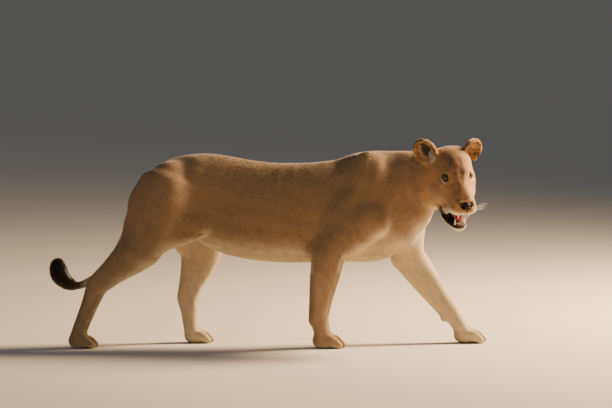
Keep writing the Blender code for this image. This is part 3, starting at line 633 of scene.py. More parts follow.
def marked_head(colour, points, normals):
    """The coat's colours with the markings of the head on it."""
    at = in_head(points)
    lean = normals @ np.array(HEAD.to_3x3())
    mirror = mirrored(at)
    x, y, z = mirror.T
    head = face_share(points)
    face = blend(colour, ORANGE, head * 0.64)
    speckle = 0.5 + 0.5 * wave(points, 0.008, 11)
    face = blend(face, BROWN, spot(mirror, *CROWN) * (0.30 + 0.50 * speckle))
    face = blend(face, BROWN, line_share(mirror, *BROW_LINE) * 0.60)
    for tint, strength, centre, size in FACE_PATCHES:
        face = blend(face, tint, spot(mirror, centre, size) * strength)
    face = marked_eyes(face, points, mirror)
    face = blend(face, WHITE, spot(mirror, *WHISKER_PAD) * 0.70)
    face = blend(face, WHITE, step(-z, 0.090, 0.108) * step(x, 0.085, 0.115) * 0.85)
    face = blend(face, CREAM, line_share(mirror, *LIP_LINE) * 0.60)
    rows = 0.5 + 0.5 * np.cos((z + 0.098 - 0.16 * (x - 0.10)) * math.tau / SPOT_SPACING[1])
    spots = rows * (0.5 + 0.5 * np.cos(x * math.tau / SPOT_SPACING[0]))
    face = blend(face, BLACK, step(spots, 0.60, 0.85) * spot(mirror, *WHISKER_SPOTS) * 0.75)
    chin = step(-z, 0.170, 0.186) * step(x, -0.05, 0.03)
    face = blend(face, WHITE, chin * 0.95)
    throat = step(-z, 0.150, 0.180) * (1 - step(x, -0.05, 0.0)) * head
    face = blend(face, CREAM, throat * 0.5)
    face = blend(face, LIP, lip_share(at, lean))
    floor_of_mouth = step(lean[:, 2], 0.30, 0.60) * step(-z, 0.140, 0.150) * step(x, -0.02, 0.01)
    face = blend(face, GUM, floor_of_mouth * (1 - step(y, 0.022, 0.034)))
    face = blend(face, LEATHER, nose_share(at))
    # Painted shade: each nostril is laid black as the dark of its opening.
    face = blend(face, BLACK, spot(mirror, *NOSTRIL_SHADE) * 0.95)
    face = blend(face, BLACK, line_share(mirror, *CLEFT_LINE) * 0.9)
    return marked_ears(blend(colour, face, head), points, normals)


def marked_eyes(face, points, mirror):
    """Black rims to the lids, a pale crescent under them and the dark line of the tears."""
    for side in SIDES:
        at = moved(eye_axes(side).inverted(), points)
        near = (1 - step(np.linalg.norm(at, axis=1), 0.032, 0.044)) * (at[:, 0] > 0)
        past = lid_distance(at * (1, 0.82, 1), side)
        band = step(past, 0.60, 0.95) * (1 - step(past, 1.20, 2.00)) * near
        under = step(-at[:, 2], 0.003, 0.008) * (1 - step(np.abs(at[:, 1]), 0.010, 0.019))
        face = blend(face, WHITE, band * under * 0.65)
        face = blend(face, CREAM, band * step(at[:, 2], 0.006, 0.011) * 0.15)
    face = blend(face, BLACK, line_share(mirror, *TEAR_LINE) * 0.75)
    return blend(face, BLACK, lids_share(points, 0.70, 1.00))


# Inside an ear, in its own axes for her left one: the hollow, where shade is painted, and the tuft low in it
HOLLOW_SHADE = ((-0.02, 0.001, -0.012), (0.050, 0.024, 0.034))
EAR_TUFT = ((0.0, -0.017, -0.048), (0.045, 0.017, 0.024))


def in_turn(normals, side):
    """Directions in an ear's axes."""
    return normals @ np.array(EAR_AXES[side].to_3x3())


def marked_ears(colour, points, normals):
    """Orange ears with dark backs, pale streaks inside, a white tuft, and painted shade in one hollow."""
    for side, out in SIDES.items():
        at, share = in_ear(points, side)
        facing = in_turn(normals, side)[:, 0]
        mirror = at * (1, out, 1)
        colour = blend(colour, ORANGE, share * 0.60)
        back = share * step(-facing, 0.35, 0.75) * (1 - step(np.hypot(at[:, 1], at[:, 2]), 0.036, 0.050))
        back = back * (1 - step(at[:, 0], -0.012, -0.002))
        colour = blend(colour, BLACK, back * step(at[:, 2], 0.000, 0.020) * 0.80)
        inner = share * step(facing, 0.0, 0.4)
        streaks = 0.5 + 0.5 * wave(points, 0.004, 21)
        colour = blend(colour, CREAM, inner * step(streaks, 0.45, 0.75) * 0.30)
        if side == "right":  # light shines through the left ear, so that its hollow isn't dark
            # Painted shade: the near ear's hollow is laid black as the shade deep in its cup.
            colour = blend(colour, BLACK, step(inner * spot(mirror, *HOLLOW_SHADE), 0.25, 0.65) * 0.94)
        colour = blend(colour, WHITE, step(inner * spot(mirror, *EAR_TUFT), 0.10, 0.60) * 0.75)
    return colour


def colour_mesh(mesh, colours):
    """Stores a colour at each point of a mesh."""
    layer = mesh.color_attributes.new(name="coat", type="FLOAT_COLOR", domain="POINT")
    layer.data.foreach_set("color", np.hstack([colours, np.ones((len(colours), 1))]).ravel())


def add_node(tree, kind, links=(), **settings):
    """Adds a shader node with its settings, and links sockets to its inputs."""
    node = tree.nodes.new(kind)
    for name, value in settings.items():
        if hasattr(node, name):
            setattr(node, name, value)
        else:
            node.inputs[name.replace("_", " ")].default_value = value
    for name, socket in dict(links).items():
        tree.links.new(socket, node.inputs[name])
    return node


def new_material(name, **finish):
    """A material, its node tree and its shader, with the finish set on the shader's sockets."""
    material = bpy.data.materials.new(name)
    material.use_nodes = True
    shader = material.node_tree.nodes["Principled BSDF"]
    for socket, value in finish.items():
        shader.inputs[socket.replace("_", " ")].default_value = value
    return material, material.node_tree, shader


def mark_bare(mesh, shares):
    """Stores how bare and moist the skin is at each point of a mesh."""
    layer = mesh.attributes.new(name="bare", type="FLOAT", domain="POINT")
    layer.data.foreach_set("value", shares)


def coat_material(name, roughness, sheen, grit, depth):
    """Hair: matte, with the markings stored in the mesh and the grain of hairs as bump.

    The grit is coarser than single hairs, so that it still shows from a few metres.
    """
    material, tree, shader = new_material(name, Roughness=roughness, Specular_IOR_Level=0.25)
    shader.inputs["Sheen Weight"].default_value = sheen
    shader.inputs["Sheen Roughness"].default_value = 0.5
    marks = add_node(tree, "ShaderNodeAttribute", attribute_name="coat")
    place = add_node(tree, "ShaderNodeTexCoord")
    coords = {"Vector": place.outputs["Object"]}
    grain = add_node(tree, "ShaderNodeTexNoise", coords, Scale=1 / grit, Detail=3.0)
    shade = add_node(tree, "ShaderNodeMapRange", {"Value": grain.outputs["Fac"]}, To_Min=0.86, To_Max=1.14)
    tone = add_node(tree, "ShaderNodeVectorMath", operation="SCALE")
    tree.links.new(marks.outputs["Color"], tone.inputs["Vector"])
    tree.links.new(shade.outputs["Result"], tone.inputs["Scale"])
    tree.links.new(tone.outputs["Vector"], shader.inputs["Base Color"])
    bump = add_node(tree, "ShaderNodeBump", {"Height": grain.outputs["Fac"]}, Strength=0.6, Distance=depth)
    tree.links.new(bump.outputs["Normal"], shader.inputs["Normal"])
    return material


HIDE_ROUGHNESS, BARE_ROUGHNESS = 0.80, 0.60


def hide_material():
    """The hide under the hair: matte leather, smoother and moist where nose and lips are bare."""
    material = coat_material("short_hair_hide", HIDE_ROUGHNESS, 0.0, 0.0016, 0.0008)
    tree = material.node_tree
    bare = add_node(tree, "ShaderNodeAttribute", attribute_name="bare")
    finish = {"To_Min": HIDE_ROUGHNESS, "To_Max": BARE_ROUGHNESS}
    moist = add_node(tree, "ShaderNodeMapRange", {"Value": bare.outputs["Fac"]}, **finish)
    tree.links.new(moist.outputs["Result"], tree.nodes["Principled BSDF"].inputs["Roughness"])
    return material


def toe_points(points):
    """Which points lie on the toes, whose faces stay small as those of the face do."""
    marks = np.zeros(len(points), dtype=bool)
    for name in PAWS:
        low, high = (np.array(corner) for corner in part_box(name))
        marks |= ((points > (high[0] - 0.08, low[1] - 0.01, 0.003)) & (points < high + 0.01)).all(axis=1)
    return marks


HIDE = hide_material()
colour_mesh(shape, markings(skin_points, skin_normals))
mark_bare(shape, bare_share(skin_points, skin_normals))
fine = fine_points(skin_points) | fine_points(skin_points, 2) | toe_points(skin_points)
coarse = skin.vertex_groups.new(name="coarse")
coarse.add(np.flatnonzero(~fine).tolist(), 1.0, "REPLACE")
lighten = skin.modifiers.new("lighten", "DECIMATE")
lighten.use_collapse_triangulate = True
lighten.vertex_group = "coarse"
lighten.ratio = SKIN_TRIANGLES / (2 * len(shape.polygons))
shape = finished(skin)
skin.vertex_groups.clear()
shape.materials.clear()
shape.materials.append(HIDE)
shape.shade_smooth()
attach(skin, "root")
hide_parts(*FLESH)


# Bake map -----------------------------------------------------------------------------
# A coarse copy of the skin, cut along its edges and laid flat. It gives each face of the skin
# and each hair's root a place of its own on the map.
CHART_TRIANGLES = 9000  # of the coarse copy
TUFT_PATCH = 0.003  # width of a lock's patch on the map


def unwrapped_chart():
    """The coarse skin's search tree, its corners and their places on the unwrap."""
    chart = new_object("chart", shape.copy())
    fewer = chart.modifiers.new("fewer", "DECIMATE")
    fewer.use_collapse_triangulate = True
    fewer.ratio = CHART_TRIANGLES / len(shape.polygons)
    mesh = finished(chart)
    mesh.uv_layers.new(name="OFBake")
    bpy.ops.object.select_all(action="DESELECT")
    bpy.context.view_layer.objects.active = chart
    chart.select_set(True)
    bpy.ops.object.mode_set(mode="EDIT")
    bpy.ops.mesh.select_all(action="SELECT")
    bpy.ops.uv.smart_project(angle_limit=math.radians(66), island_margin=0.004)
    bpy.ops.object.mode_set(mode="OBJECT")
    mesh = chart.data
    corners, spots = corners_of(mesh), points_of(mesh)
    places = values_of(mesh.uv_layers["OFBake"].data, "uv", 2)
    tree = BVHTree.FromPolygons(spots.tolist(), corners.tolist())
    bpy.data.objects.remove(chart)
    return tree, spots[corners], places.reshape(-1, 3, 2)


CHART, CHART_CORNERS, CHART_PLACES = unwrapped_chart()


def on_chart(points, faces):
    """The place on the unwrap of points, each carried by the plane of one coarse face."""
    first, second, third = (CHART_CORNERS[faces, corner] for corner in range(3))
    one, two, away = second - first, third - first, points - first
    d11, d12, d22 = (one * one).sum(1), (one * two).sum(1), (two * two).sum(1)
    a1, a2 = (away * one).sum(1), (away * two).sum(1)
    area = np.maximum(d11 * d22 - d12 * d12, 1e-18)
    share1, share2 = (d22 * a1 - d12 * a2) / area, (d11 * a2 - d12 * a1) / area
    shares = np.stack([1 - share1 - share2, share1, share2], axis=1)
    return (CHART_PLACES[faces] * shares[:, :, None]).sum(axis=1)


def map_skin():
    """Gives the skin its bake map, face by face."""
    spots = points_of(shape)[corners_of(shape)]
    faces = np.array([CHART.find_nearest(Vector(spot))[2] for spot in spots.mean(axis=1)])
    layer = shape.uv_layers.new(name="OFBake")
    layer.data.foreach_set("uv", on_chart(spots.reshape(-1, 3), np.repeat(faces, 3)).ravel())


map_skin()


# Coat ---------------------------------------------------------------------------------
# Short hair in flat locks a few millimetres wide. Each lock is a closed sliver: a root sunk in
# the skin, a low ridge half way, and a tip that lies back along the body.
HAIR = coat_material("short_hair", 0.72, 0.25, 0.0022, 0.0006)
LOWER_LEGS = [name + side for side in SIDES for limb in LIMB_PIECES for name in limb[1:]]
# Coat of each part: its nodes, and locks to a square metre
COATS = {
    "coat_belly": (("belly",), 62000),
    "coat_rump": (("hindquarters",), 60000),
    "coat_chest": (("chest",), 66000),
    "coat_shoulders": (("shoulder_left", "shoulder_right"), 66000),
    "coat_neck": (("neck",), 90000),
    "coat_thighs": (("thigh_left", "thigh_right"), 70000),
    "coat_forelegs": (LOWER_LEGS[:2] + LOWER_LEGS[5:7], 90000),
    "coat_hind_legs": (LOWER_LEGS[2:5] + LOWER_LEGS[7:], 90000),
    "coat_tail": (TAIL_PIECES, 110000),
    "coat_ears": (("ear_left", "ear_right"), 200000),
    "coat_jaw": (("jaw",), 200000),
    "coat_face_left": (("head",), 205000),
    "coat_face_right": (("head",), 205000),
}
# Length and width of a lock on each part, and how far its tip stands off the skin
TRUNK_LOCK = np.array((0.0270, 0.0036, 0.0020))
LEG_LOCK = np.array((0.0150, 0.0026, 0.0014))
TAIL_LOCK = np.array((0.0220, 0.0028, 0.0036))
BRUSH_LOCK = np.array((0.0480, 0.0026, 0.0170))  # the black brush at the tail's end
FACE_LOCK = np.array((0.0100, 0.0018, 0.0008))
CHIN_LOCK = np.array((0.0180, 0.0018, 0.0030))
EAR_LOCK = np.array((0.0240, 0.0016, 0.0050))  # the tuft low in each ear
CHIN = ((0.060, 0.0, -0.222), (0.050, 0.050, 0.016))  # in the head's axes: centre and size
EAR_FRINGE = ((0.0, -0.026, -0.038), (0.045, 0.018, 0.034))  # the same in her left ear's axes


def lock_sizes(points):
    """The length, width and lift of the locks at each point, changing smoothly over her."""
    behind, height = -points[:, 0], points[:, 2]
    sizes = np.repeat(TRUNK_LOCK[None], len(points), axis=0)
    sizes = blend(sizes, LEG_LOCK, 1 - step(height, 0.15, 0.55))
    sizes = blend(sizes, TAIL_LOCK, step(behind, 0.60, 0.66) * step(height, 0.24, 0.30))
    sizes = blend(sizes, FACE_LOCK, face_share(points) ** 0.6)
    at = in_head(points)
    chin = spot(mirrored(at), *CHIN) * step(at[:, 0], -0.02, 0.02)
    sizes = blend(sizes, CHIN_LOCK, chin * 0.8)
    brush = side_of(points, "tail_tuft") * step(height, TUFT_TOP[2] - 0.15, TUFT_TOP[2] - 0.11)
    sizes = blend(sizes, BRUSH_LOCK, brush * step(behind, 0.86, 0.88))
    for side, out in SIDES.items():
        at, share = in_ear(points, side)
        sizes = blend(sizes, EAR_LOCK, share * spot(at * (1, out, 1), *EAR_FRINGE))
    return sizes


NOSE = np.array(HEAD @ Vector((0.170, 0, -0.055)))


def flow_bones():
    """Lines through the body along which the hair lies: start, end, and the reach of each."""
    bones = []
    chain = [MIDDLES[name] for name in TRUNK_NODES]
    chain.append(np.array(middle_of("tail_base")) + (0.06, 0, 0.25))
    bones += [(start, end, 0.16) for start, end in zip(chain, chain[1:])]
    for side in SIDES:
        for pieces in LIMB_PIECES:
            chain = [MIDDLES[piece + side] for piece in pieces]
            chain.append(chain[-1] + (0.08, 0, -0.03))
            bones += [(start, end, 0.07) for start, end in zip(chain, chain[1:])]
    chain = [MIDDLES[name] for name in TAIL_PIECES]
    chain = [2 * chain[0] - chain[1]] + chain + [chain[-1] + (0, 0, 0.09)]
    bones += [(start, end, 0.03) for start, end in zip(chain, chain[1:])]
    return bones


FLOW_BONES = flow_bones()
DROP = np.array((-0.15, 0.0, -0.35))  # hair on the trunk and neck also hangs a little


def lie_of_hair(points, normals):
    """The direction in which the hair lies at each point, along the skin."""
    total = np.zeros_like(points)
    for start, end, reach in FLOW_BONES:
        along = end - start
        share = np.clip(((points - start) @ along) / (along @ along), 0.0, 1.0)
        away = np.linalg.norm(points - start - share[:, None] * along, axis=1)
        weight = 1 / (0.02 + (away / reach) ** 2) ** 3
        total += weight[:, None] * along / np.linalg.norm(along)
    total /= np.maximum(np.linalg.norm(total, axis=1), 1e-9)[:, None]
    total += DROP * step(points[:, 2], 0.35, 0.60)[:, None]
    head = face_share(points)[:, None]
    from_nose = points - NOSE
    from_nose /= np.maximum(np.linalg.norm(from_nose, axis=1), 1e-9)[:, None]
    total = total * (1 - head) + from_nose * head
    for side in SIDES:
        _, share = in_ear(points, side)
        tip = np.array(EAR_AXES[side].to_3x3() @ Vector((-0.15, 0, 1)))
        total = total * (1 - share[:, None]) + tip * share[:, None]
    total -= normals * (total * normals).sum(axis=1)[:, None]
    return total / np.maximum(np.linalg.norm(total, axis=1), 1e-9)[:, None]


def skin_faces():
    """The skin's triangles: corners, area and the coat that each belongs to."""
    corners = corners_of(shape)
    spots = points_of(shape)[corners]
    area = np.linalg.norm(np.cross(spots[:, 1] - spots[:, 0], spots[:, 2] - spots[:, 0]), axis=1) / 2
    tree, owners = node_tree()
    centres = spots.mean(axis=1)
    owner = np.array([owners[tree.find_nearest(Vector(centre))[2]] for centre in centres])
    left = list(COATS).index("coat_face_left")
    owner = np.where(owner >= left, np.where(in_head(centres)[:, 1] > 0, left, left + 1), owner)
    return corners, spots, area, owner


def node_tree():
    """A search tree over the flesh nodes, and the coat that each of its faces belongs to."""
    spots, faces, owners = [], [], []
    for place, (members, _) in enumerate(COATS.values()):
        for name in members:
            mesh, start = nodes[name].data, len(spots)
            spots += [vertex.co.copy() for vertex in mesh.vertices]
            faces += [[start + corner for corner in face.vertices] for face in mesh.polygons]
            owners += [place] * len(mesh.polygons)
    return BVHTree.FromPolygons(spots, faces), owners


SHAPE_NORMALS = normals_of(shape)
FACE_CORNERS, FACE_SPOTS, FACE_AREAS, FACE_COATS = skin_faces()


def grow_coat(name, seed):
    """Sows the locks of one coat over its part of the skin and makes them one mesh."""
    _, density = COATS[name]
    turns = np.random.default_rng(seed)
    mine = np.flatnonzero(FACE_COATS == list(COATS).index(name))
    area = FACE_AREAS[mine]
    count = int(area.sum() * density)
    mine = mine[np.searchsorted(np.cumsum(area) / area.sum(), turns.random(count))]
    first, second = turns.random(count), turns.random(count)
    fold = first + second > 1
    first, second = np.where(fold, 1 - first, first), np.where(fold, 1 - second, second)
    shares = np.stack([1 - first - second, first, second], axis=1)[:, :, None]
    root = (FACE_SPOTS[mine] * shares).sum(axis=1)
    normal = (SHAPE_NORMALS[FACE_CORNERS[mine]] * shares).sum(axis=1)
    normal /= np.linalg.norm(normal, axis=1)[:, None]
    keep = bare_share(root, normal) < 0.5
    root, normal = root[keep], normal[keep]
    lay_locks(name, root, normal, turns)


STRAY = 0.16  # how far locks stray from the lie of the hair, as an angle
SUNK = 0.0008  # how deep a root is in the skin
# Painted shade and light along each lock: darker at the root under its neighbours, a little lighter at the
# tip.
LOCK_SHADE_AND_LIGHT = np.array([0.94, 0.98, 0.98, 1.0, 1.04])  # from root to tip


def lay_locks(name, root, normal, turns):
    """Lays a lock on each root, its tip back along the skin, and paints it as the skin."""
    count = len(root)
    length, width, lift = (column[:, None] for column in lock_sizes(root).T)
    size = turns.uniform(0.75, 1.25, count)[:, None]
    lie = lie_of_hair(root, normal)
    across = np.cross(normal, lie)
    stray = turns.normal(0, STRAY, count)[:, None]
    lie = lie * np.cos(stray) + across * np.sin(stray)
    across = np.cross(normal, lie)
    reach = root + lie * length * size
    tip, over = np.empty_like(root), np.empty_like(root)
    for index, spot_ahead in enumerate(reach):
        place, face_normal, _, _ = surface.find_nearest(Vector(spot_ahead))
        tip[index], over[index] = place, face_normal
    rise = turns.uniform(0.6, 1.0, count)[:, None] * lift
    tip = tip + over * rise
    middle = (root + tip) / 2 + normal * rise * 0.25
    half = across * width * size * 0.5
    ridge = middle + normal * width * 0.20
    spots = np.stack([root - normal * SUNK, middle - half, middle + half, ridge, tip], axis=1)
    colours = markings(root, normal)
    colours = colours * turns.normal(1.0, 0.05, count).clip(0.80, 1.2)[:, None]
    colours = np.clip(colours[:, None, :] * LOCK_SHADE_AND_LIGHT[None, :, None], 0, 1)
    shading = np.stack([normal, normal - 0.35 * across, normal + 0.35 * across, normal, over], axis=1)
    thing = new_object(name, slivers(name, spots, root, shading.reshape(-1, 3)))
    colour_mesh(thing.data, colours.reshape(-1, 3))
    thing.data.materials.append(HAIR)
    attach(thing, "root")


# The faces of a lock over its root, left, right, ridge and tip, and these points on the map
SLIVER = np.array([[0, 1, 3], [0, 3, 2], [0, 2, 1], [4, 3, 1], [4, 2, 3], [4, 1, 2]])
PATCH = TUFT_PATCH / 2 * np.array([[0, -1], [-1, 0], [1, 0], [0, 0.2], [0, 1]])


def slivers(name, spots, roots, shading):
    """A mesh of closed slivers from their five points each, shaded as the skin under them."""
    count = len(spots)
    faces = (SLIVER[None] + 5 * np.arange(count)[:, None, None]).reshape(-1, 3)
    mesh = bpy.data.meshes.new(name)
    mesh.vertices.add(5 * count)
    mesh.vertices.foreach_set("co", spots.ravel())
    mesh.loops.add(faces.size)
    mesh.loops.foreach_set("vertex_index", faces.ravel())
    mesh.polygons.add(len(faces))
    mesh.polygons.foreach_set("loop_start", np.arange(0, faces.size, 3))
    mesh.update(calc_edges=True)
    found = np.array([CHART.find_nearest(Vector(spot))[2] for spot in roots])
    places = on_chart(roots, found)[:, None, :] + PATCH[None]
    layer = mesh.uv_layers.new(name="OFBake")
    layer.data.foreach_set("uv", places.reshape(-1, 2)[faces.ravel()].ravel())
    mesh.shade_smooth()
    if name != "coat_ears":  # in the thin ears, locks of one side also show on the other
        mesh.normals_split_custom_set_from_vertices(shading / np.linalg.norm(shading, axis=1)[:, None])
    return mesh


surface = BVHTree.FromPolygons(points_of(shape).tolist(), corners_of(shape).tolist())
for seed, name in enumerate(COATS):
    grow_coat(name, seed)


# Eyes ---------------------------------------------------------------------------------
# Amber eyes with a round pupil and a dark rim to the iris. Each is one ball with a bulging
# cornea, set deep between the lids.
AMBER, PUPIL, EYE_WHITE = linear("#5A3819"), linear("#060504"), linear("#2E231F")
IRIS_RADIUS, CORNEA_RISE = 0.0135, 0.0014
# How far off the eye's axis the pupil ends, the iris darkens to its rim and the white begins
PUPIL_EDGE, IRIS_RIM, WHITE_EDGE = (0.0046, 0.0053), (0.0118, 0.0136), (0.0142, 0.0156)
GAZE_OUT, GAZE_UP = math.radians(3), math.radians(9)  # past where the opening of the lids faces


def eye_material():
    """A living eye: coloured matter under a clear wet cornea, so its highlight is sharp."""
    finish = {"Roughness": 0.12, "Specular_IOR_Level": 0.3, "Coat_Weight": 0.4, "Coat_Roughness": 0.03}
    material, tree, shader = new_material("wet_amber_eye", **finish)
    marks = add_node(tree, "ShaderNodeAttribute", attribute_name="coat")
    tree.links.new(marks.outputs["Color"], shader.inputs["Base Color"])
    return material


EYE_GLOSS = eye_material()


def make_eye(side):
    """An eyeball with its cornea, its rings coloured from the pupil out."""
    form = bmesh.new()
    bmesh.ops.create_uvsphere(form, u_segments=48, v_segments=64, radius=EYE_RADIUS)
    bmesh.ops.rotate(form, matrix=Matrix.Rotation(math.pi / 2, 3, "Y"), verts=form.verts)
    for vertex in form.verts:
        off = math.hypot(vertex.co.y, vertex.co.z)
        if vertex.co.x > 0 and off < IRIS_RADIUS:
            vertex.co.x += CORNEA_RISE * (1 - (off / IRIS_RADIUS) ** 2)
    mesh = mesh_from(form, "eye_ball_" + side)
    spots = points_of(mesh)
    off = np.where(spots[:, 0] > 0, np.hypot(spots[:, 1], spots[:, 2]), 1.0)
    angle = np.arctan2(spots[:, 2], spots[:, 1])
    fibres = 1 + 0.18 * np.sin(angle * 23) * np.sin(angle * 7 + 1)
    colour = AMBER[None] * fibres[:, None] * (0.70 + 0.5 * step(off, 0.004, 0.010))[:, None]
    colour = blend(colour, PUPIL, 1 - step(off, *PUPIL_EDGE))
    colour = blend(colour, PUPIL, step(off, *IRIS_RIM))
    colour = blend(colour, EYE_WHITE, step(off, *WHITE_EDGE))
    colour_mesh(mesh, np.clip(colour, 0, 1))
    outward = Matrix.Rotation(SIDES[side] * GAZE_OUT, 4, "Z")
    mesh.transform(eye_axes(side) @ outward @ Matrix.Rotation(-GAZE_UP, 4, "Y"))
    mesh.shade_smooth()
    mesh.materials.append(EYE_GLOSS)
    eye = new_object("eye_ball_" + side, mesh)
    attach(eye, "root")
    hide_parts("eye_" + side)


for side in SIDES:
    make_eye(side)


# Teeth --------------------------------------------------------------------------------
# Ivory canines, long and a little curved back, and a row of small incisors below between
# them. All stand in the gums, which hide their roots.
FANG_RADIUS, FANG_BEND = 0.0056, Vector((0.0012, 0, 0))
INCISORS, INCISOR_RADIUS, INCISOR_BEND = 6, 0.0024, Vector((0.0002, 0, 0))
INCISOR = Vector((0.001, 0, 0.009))  # from root to tip


def two_toned(tree, patches, low, high, **settings):
    """Colours a shader between two tints in soft patches, so many to a metre."""
    place = add_node(tree, "ShaderNodeTexCoord")
    coords = {"Vector": place.outputs["Object"]}
    noise = add_node(tree, "ShaderNodeTexNoise", coords, Scale=patches, **settings)
    ramp = add_node(tree, "ShaderNodeValToRGB", {"Fac": noise.outputs["Fac"]})
    for element, code in zip(ramp.color_ramp.elements, (low, high)):
        element.color = (*linear(code), 1)
    tree.links.new(ramp.outputs["Color"], tree.nodes["Principled BSDF"].inputs["Base Color"])
    return place


def tooth_material():
    """Enamel over dentine: smooth, ivory, yellower in places."""
    material, tree, _ = new_material("ivory_enamel", Roughness=0.28, Subsurface_Weight=0.05)
    two_toned(tree, 180.0, "#CDB98C", "#F0E6CC", Detail=2.0)
    return material


ENAMEL = tooth_material()


def tooth(form, root, tip, radius, bend):
    """Adds a tapered tooth with a rounded tip, bent towards a direction half way."""
    length = (tip - root).length
    turn = (tip - root).to_track_quat("Z", "Y")
    ball = bmesh.ops.create_uvsphere(form, u_segments=16, v_segments=20, radius=1)["verts"]
    for vertex in ball:
        up, wide = (vertex.co.z + 1) / 2, vertex.co.xy.length
        foot = min(1.0, wide + 0.55) if up < 0.5 else 1.0
        thick = radius * (1 - 0.80 * up**1.6) * foot
        across = vertex.co.xy.normalized() * thick * min(1.0, wide * 1.9)
        vertex.co = root + turn @ Vector((across.x, across.y, up * length)) + bend * (4 * up * (1 - up))


def make_canine(name):
    """A canine in the place of its solid, from the middle of its root to its tip."""
    spots = in_head(points_of(nodes[name].data))
    grows = -1 if "upper" in name else 1
    order = np.argsort(grows * spots[:, 2])
    root, tip = spots[order[:8]].mean(axis=0), spots[order[-8:]].mean(axis=0)
    form = bmesh.new()
    tooth(form, Vector(root), Vector(tip), FANG_RADIUS, FANG_BEND)
    finish_teeth(form, name.replace("canine", "fang"), name)


def finish_teeth(form, title, name=None):
    """Makes teeth drawn in the head's axes one piece, in place of a node if it has one."""
    bmesh.ops.transform(form, matrix=HEAD, verts=form.verts)
    bmesh.ops.recalc_face_normals(form, faces=form.faces)
    mesh = mesh_from(form, title)
    mesh.shade_smooth()
    mesh.materials.append(ENAMEL)
    thing = new_object(title, mesh)
    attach(thing, "root")
    if name:
        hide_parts(name)


for name in sorted(nodes):
    if name.startswith("canine"):
        make_canine(name)
LOWER_FANGS = [in_head(MIDDLES["canine_lower_" + side][None])[0] for side in SIDES]
form = bmesh.new()
for place in range(INCISORS):
    share = (place + 0.5) / INCISORS
    foot = Vector(LOWER_FANGS[0] * (1 - share) + LOWER_FANGS[1] * share)
    foot.x += 0.010 * math.sin(math.pi * share) + 0.002
    foot.z -= 0.004
    tooth(form, foot, foot + INCISOR, INCISOR_RADIUS, INCISOR_BEND)
finish_teeth(form, "incisors")


# Tongue -------------------------------------------------------------------------------
# A broad wet tongue with a furrow along its middle and rows of fine rasping points. It lies
# on the floor of the mouth between the lower fangs.
TONGUE_GRAIN = 0.0015  # spacing of its points
FURROW_WIDTH, FURROW_DEPTH = 0.0035, 0.0025
RASP_SPACING, RASP_DEPTH = 0.0022, 0.0008


def tongue_material():
    """Wet flesh: pink to dark red in patches, and glossy over its rasping points."""
    material, tree, shader = new_material("wet_tongue", Roughness=0.34, Subsurface_Weight=0.10)
    place = two_toned(tree, 60.0, "#8E3A32", "#C06A58", Detail=3.0)
    coords = {"Vector": place.outputs["Object"]}
    points = add_node(tree, "ShaderNodeTexVoronoi", coords, Scale=1 / RASP_SPACING)
    height = {"Height": points.outputs["Distance"]}
    bump = add_node(tree, "ShaderNodeBump", height, Strength=0.5, Distance=RASP_DEPTH)
    tree.links.new(bump.outputs["Normal"], shader.inputs["Normal"])
    return material


def make_tongue():
    """The tongue's solid evened out into one smooth form, with its furrow."""
    tongue = new_object("wet_tongue", nodes["tongue"].data.copy())
    wrap = tongue.modifiers.new("wrap", "REMESH")
    wrap.mode = "VOXEL"
    wrap.voxel_size = TONGUE_GRAIN
    mesh = finished(tongue)
    points = relaxed(points_of(mesh), edges_of(mesh), np.ones(len(mesh.vertices)), 12)
    at = in_head(points)
    middle, half_way = at[:, 1].mean(), np.median(at[:, 2])
    furrow = np.exp(-(((at[:, 1] - middle) / FURROW_WIDTH) ** 2)) * FURROW_DEPTH
    at[:, 2] -= furrow * step(at[:, 2], half_way - 0.004, half_way + 0.004)
    mesh.vertices.foreach_set("co", moved(HEAD, at).ravel())
    mesh.update()
    mesh.materials.clear()
    mesh.materials.append(tongue_material())
    mesh.shade_smooth()
    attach(tongue, "root")
    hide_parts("tongue")


make_tongue()


# Whiskers -----------------------------------------------------------------------------
# Stiff white hairs in four rows on each whisker pad, and a few over each eye, tapering to
# nothing and curving back and down.
WHISKER_ROWS = ((-0.094, 3), (-0.103, 4), (-0.112, 4), (-0.121, 3))  # height and hairs of each
HAIRS_LEFT = 2  # in each row on her left, where few stand out
WHISKER_RADIUS, BROW_HAIR_RADIUS, BROW_HAIRS = 0.00032, 0.00022, 2


def whisker(form, root, along, sag, length, thick):
    """Adds one tapered hair from its root, bending down as it goes."""
    before = len(form.verts)
    bmesh.ops.create_cone(form, cap_ends=True, segments=4, radius1=thick, radius2=thick * 0.12, depth=length)
    form.verts.ensure_lookup_table()
    edges = set(edge for vertex in form.verts[before:] for edge in vertex.link_edges)
    bmesh.ops.subdivide_edges(form, edges=[edge for edge in edges if edge.calc_length() > length / 2], cuts=7)
    form.verts.ensure_lookup_table()
    turn = along.to_track_quat("Z", "Y")
    for vertex in form.verts[before:]:
        share = vertex.co.z / length + 0.5
        vertex.co = root + turn @ Vector((vertex.co.x, vertex.co.y, share * length)) + sag * share**2


def root_on_skin(x, y, z):
    """The place on the skin nearest to one in the head's axes, in those axes."""
    return HEAD.inverted() @ surface.find_nearest(HEAD @ Vector((x, y, z)))[0]


def whisker_material():
    """Bristle: stiff, smooth and translucent white, a little darker in places."""
    material, tree, _ = new_material("white_bristle", Roughness=0.45)
    two_toned(tree, 90.0, "#B9AE9C", "#E4DCCD")
    return material


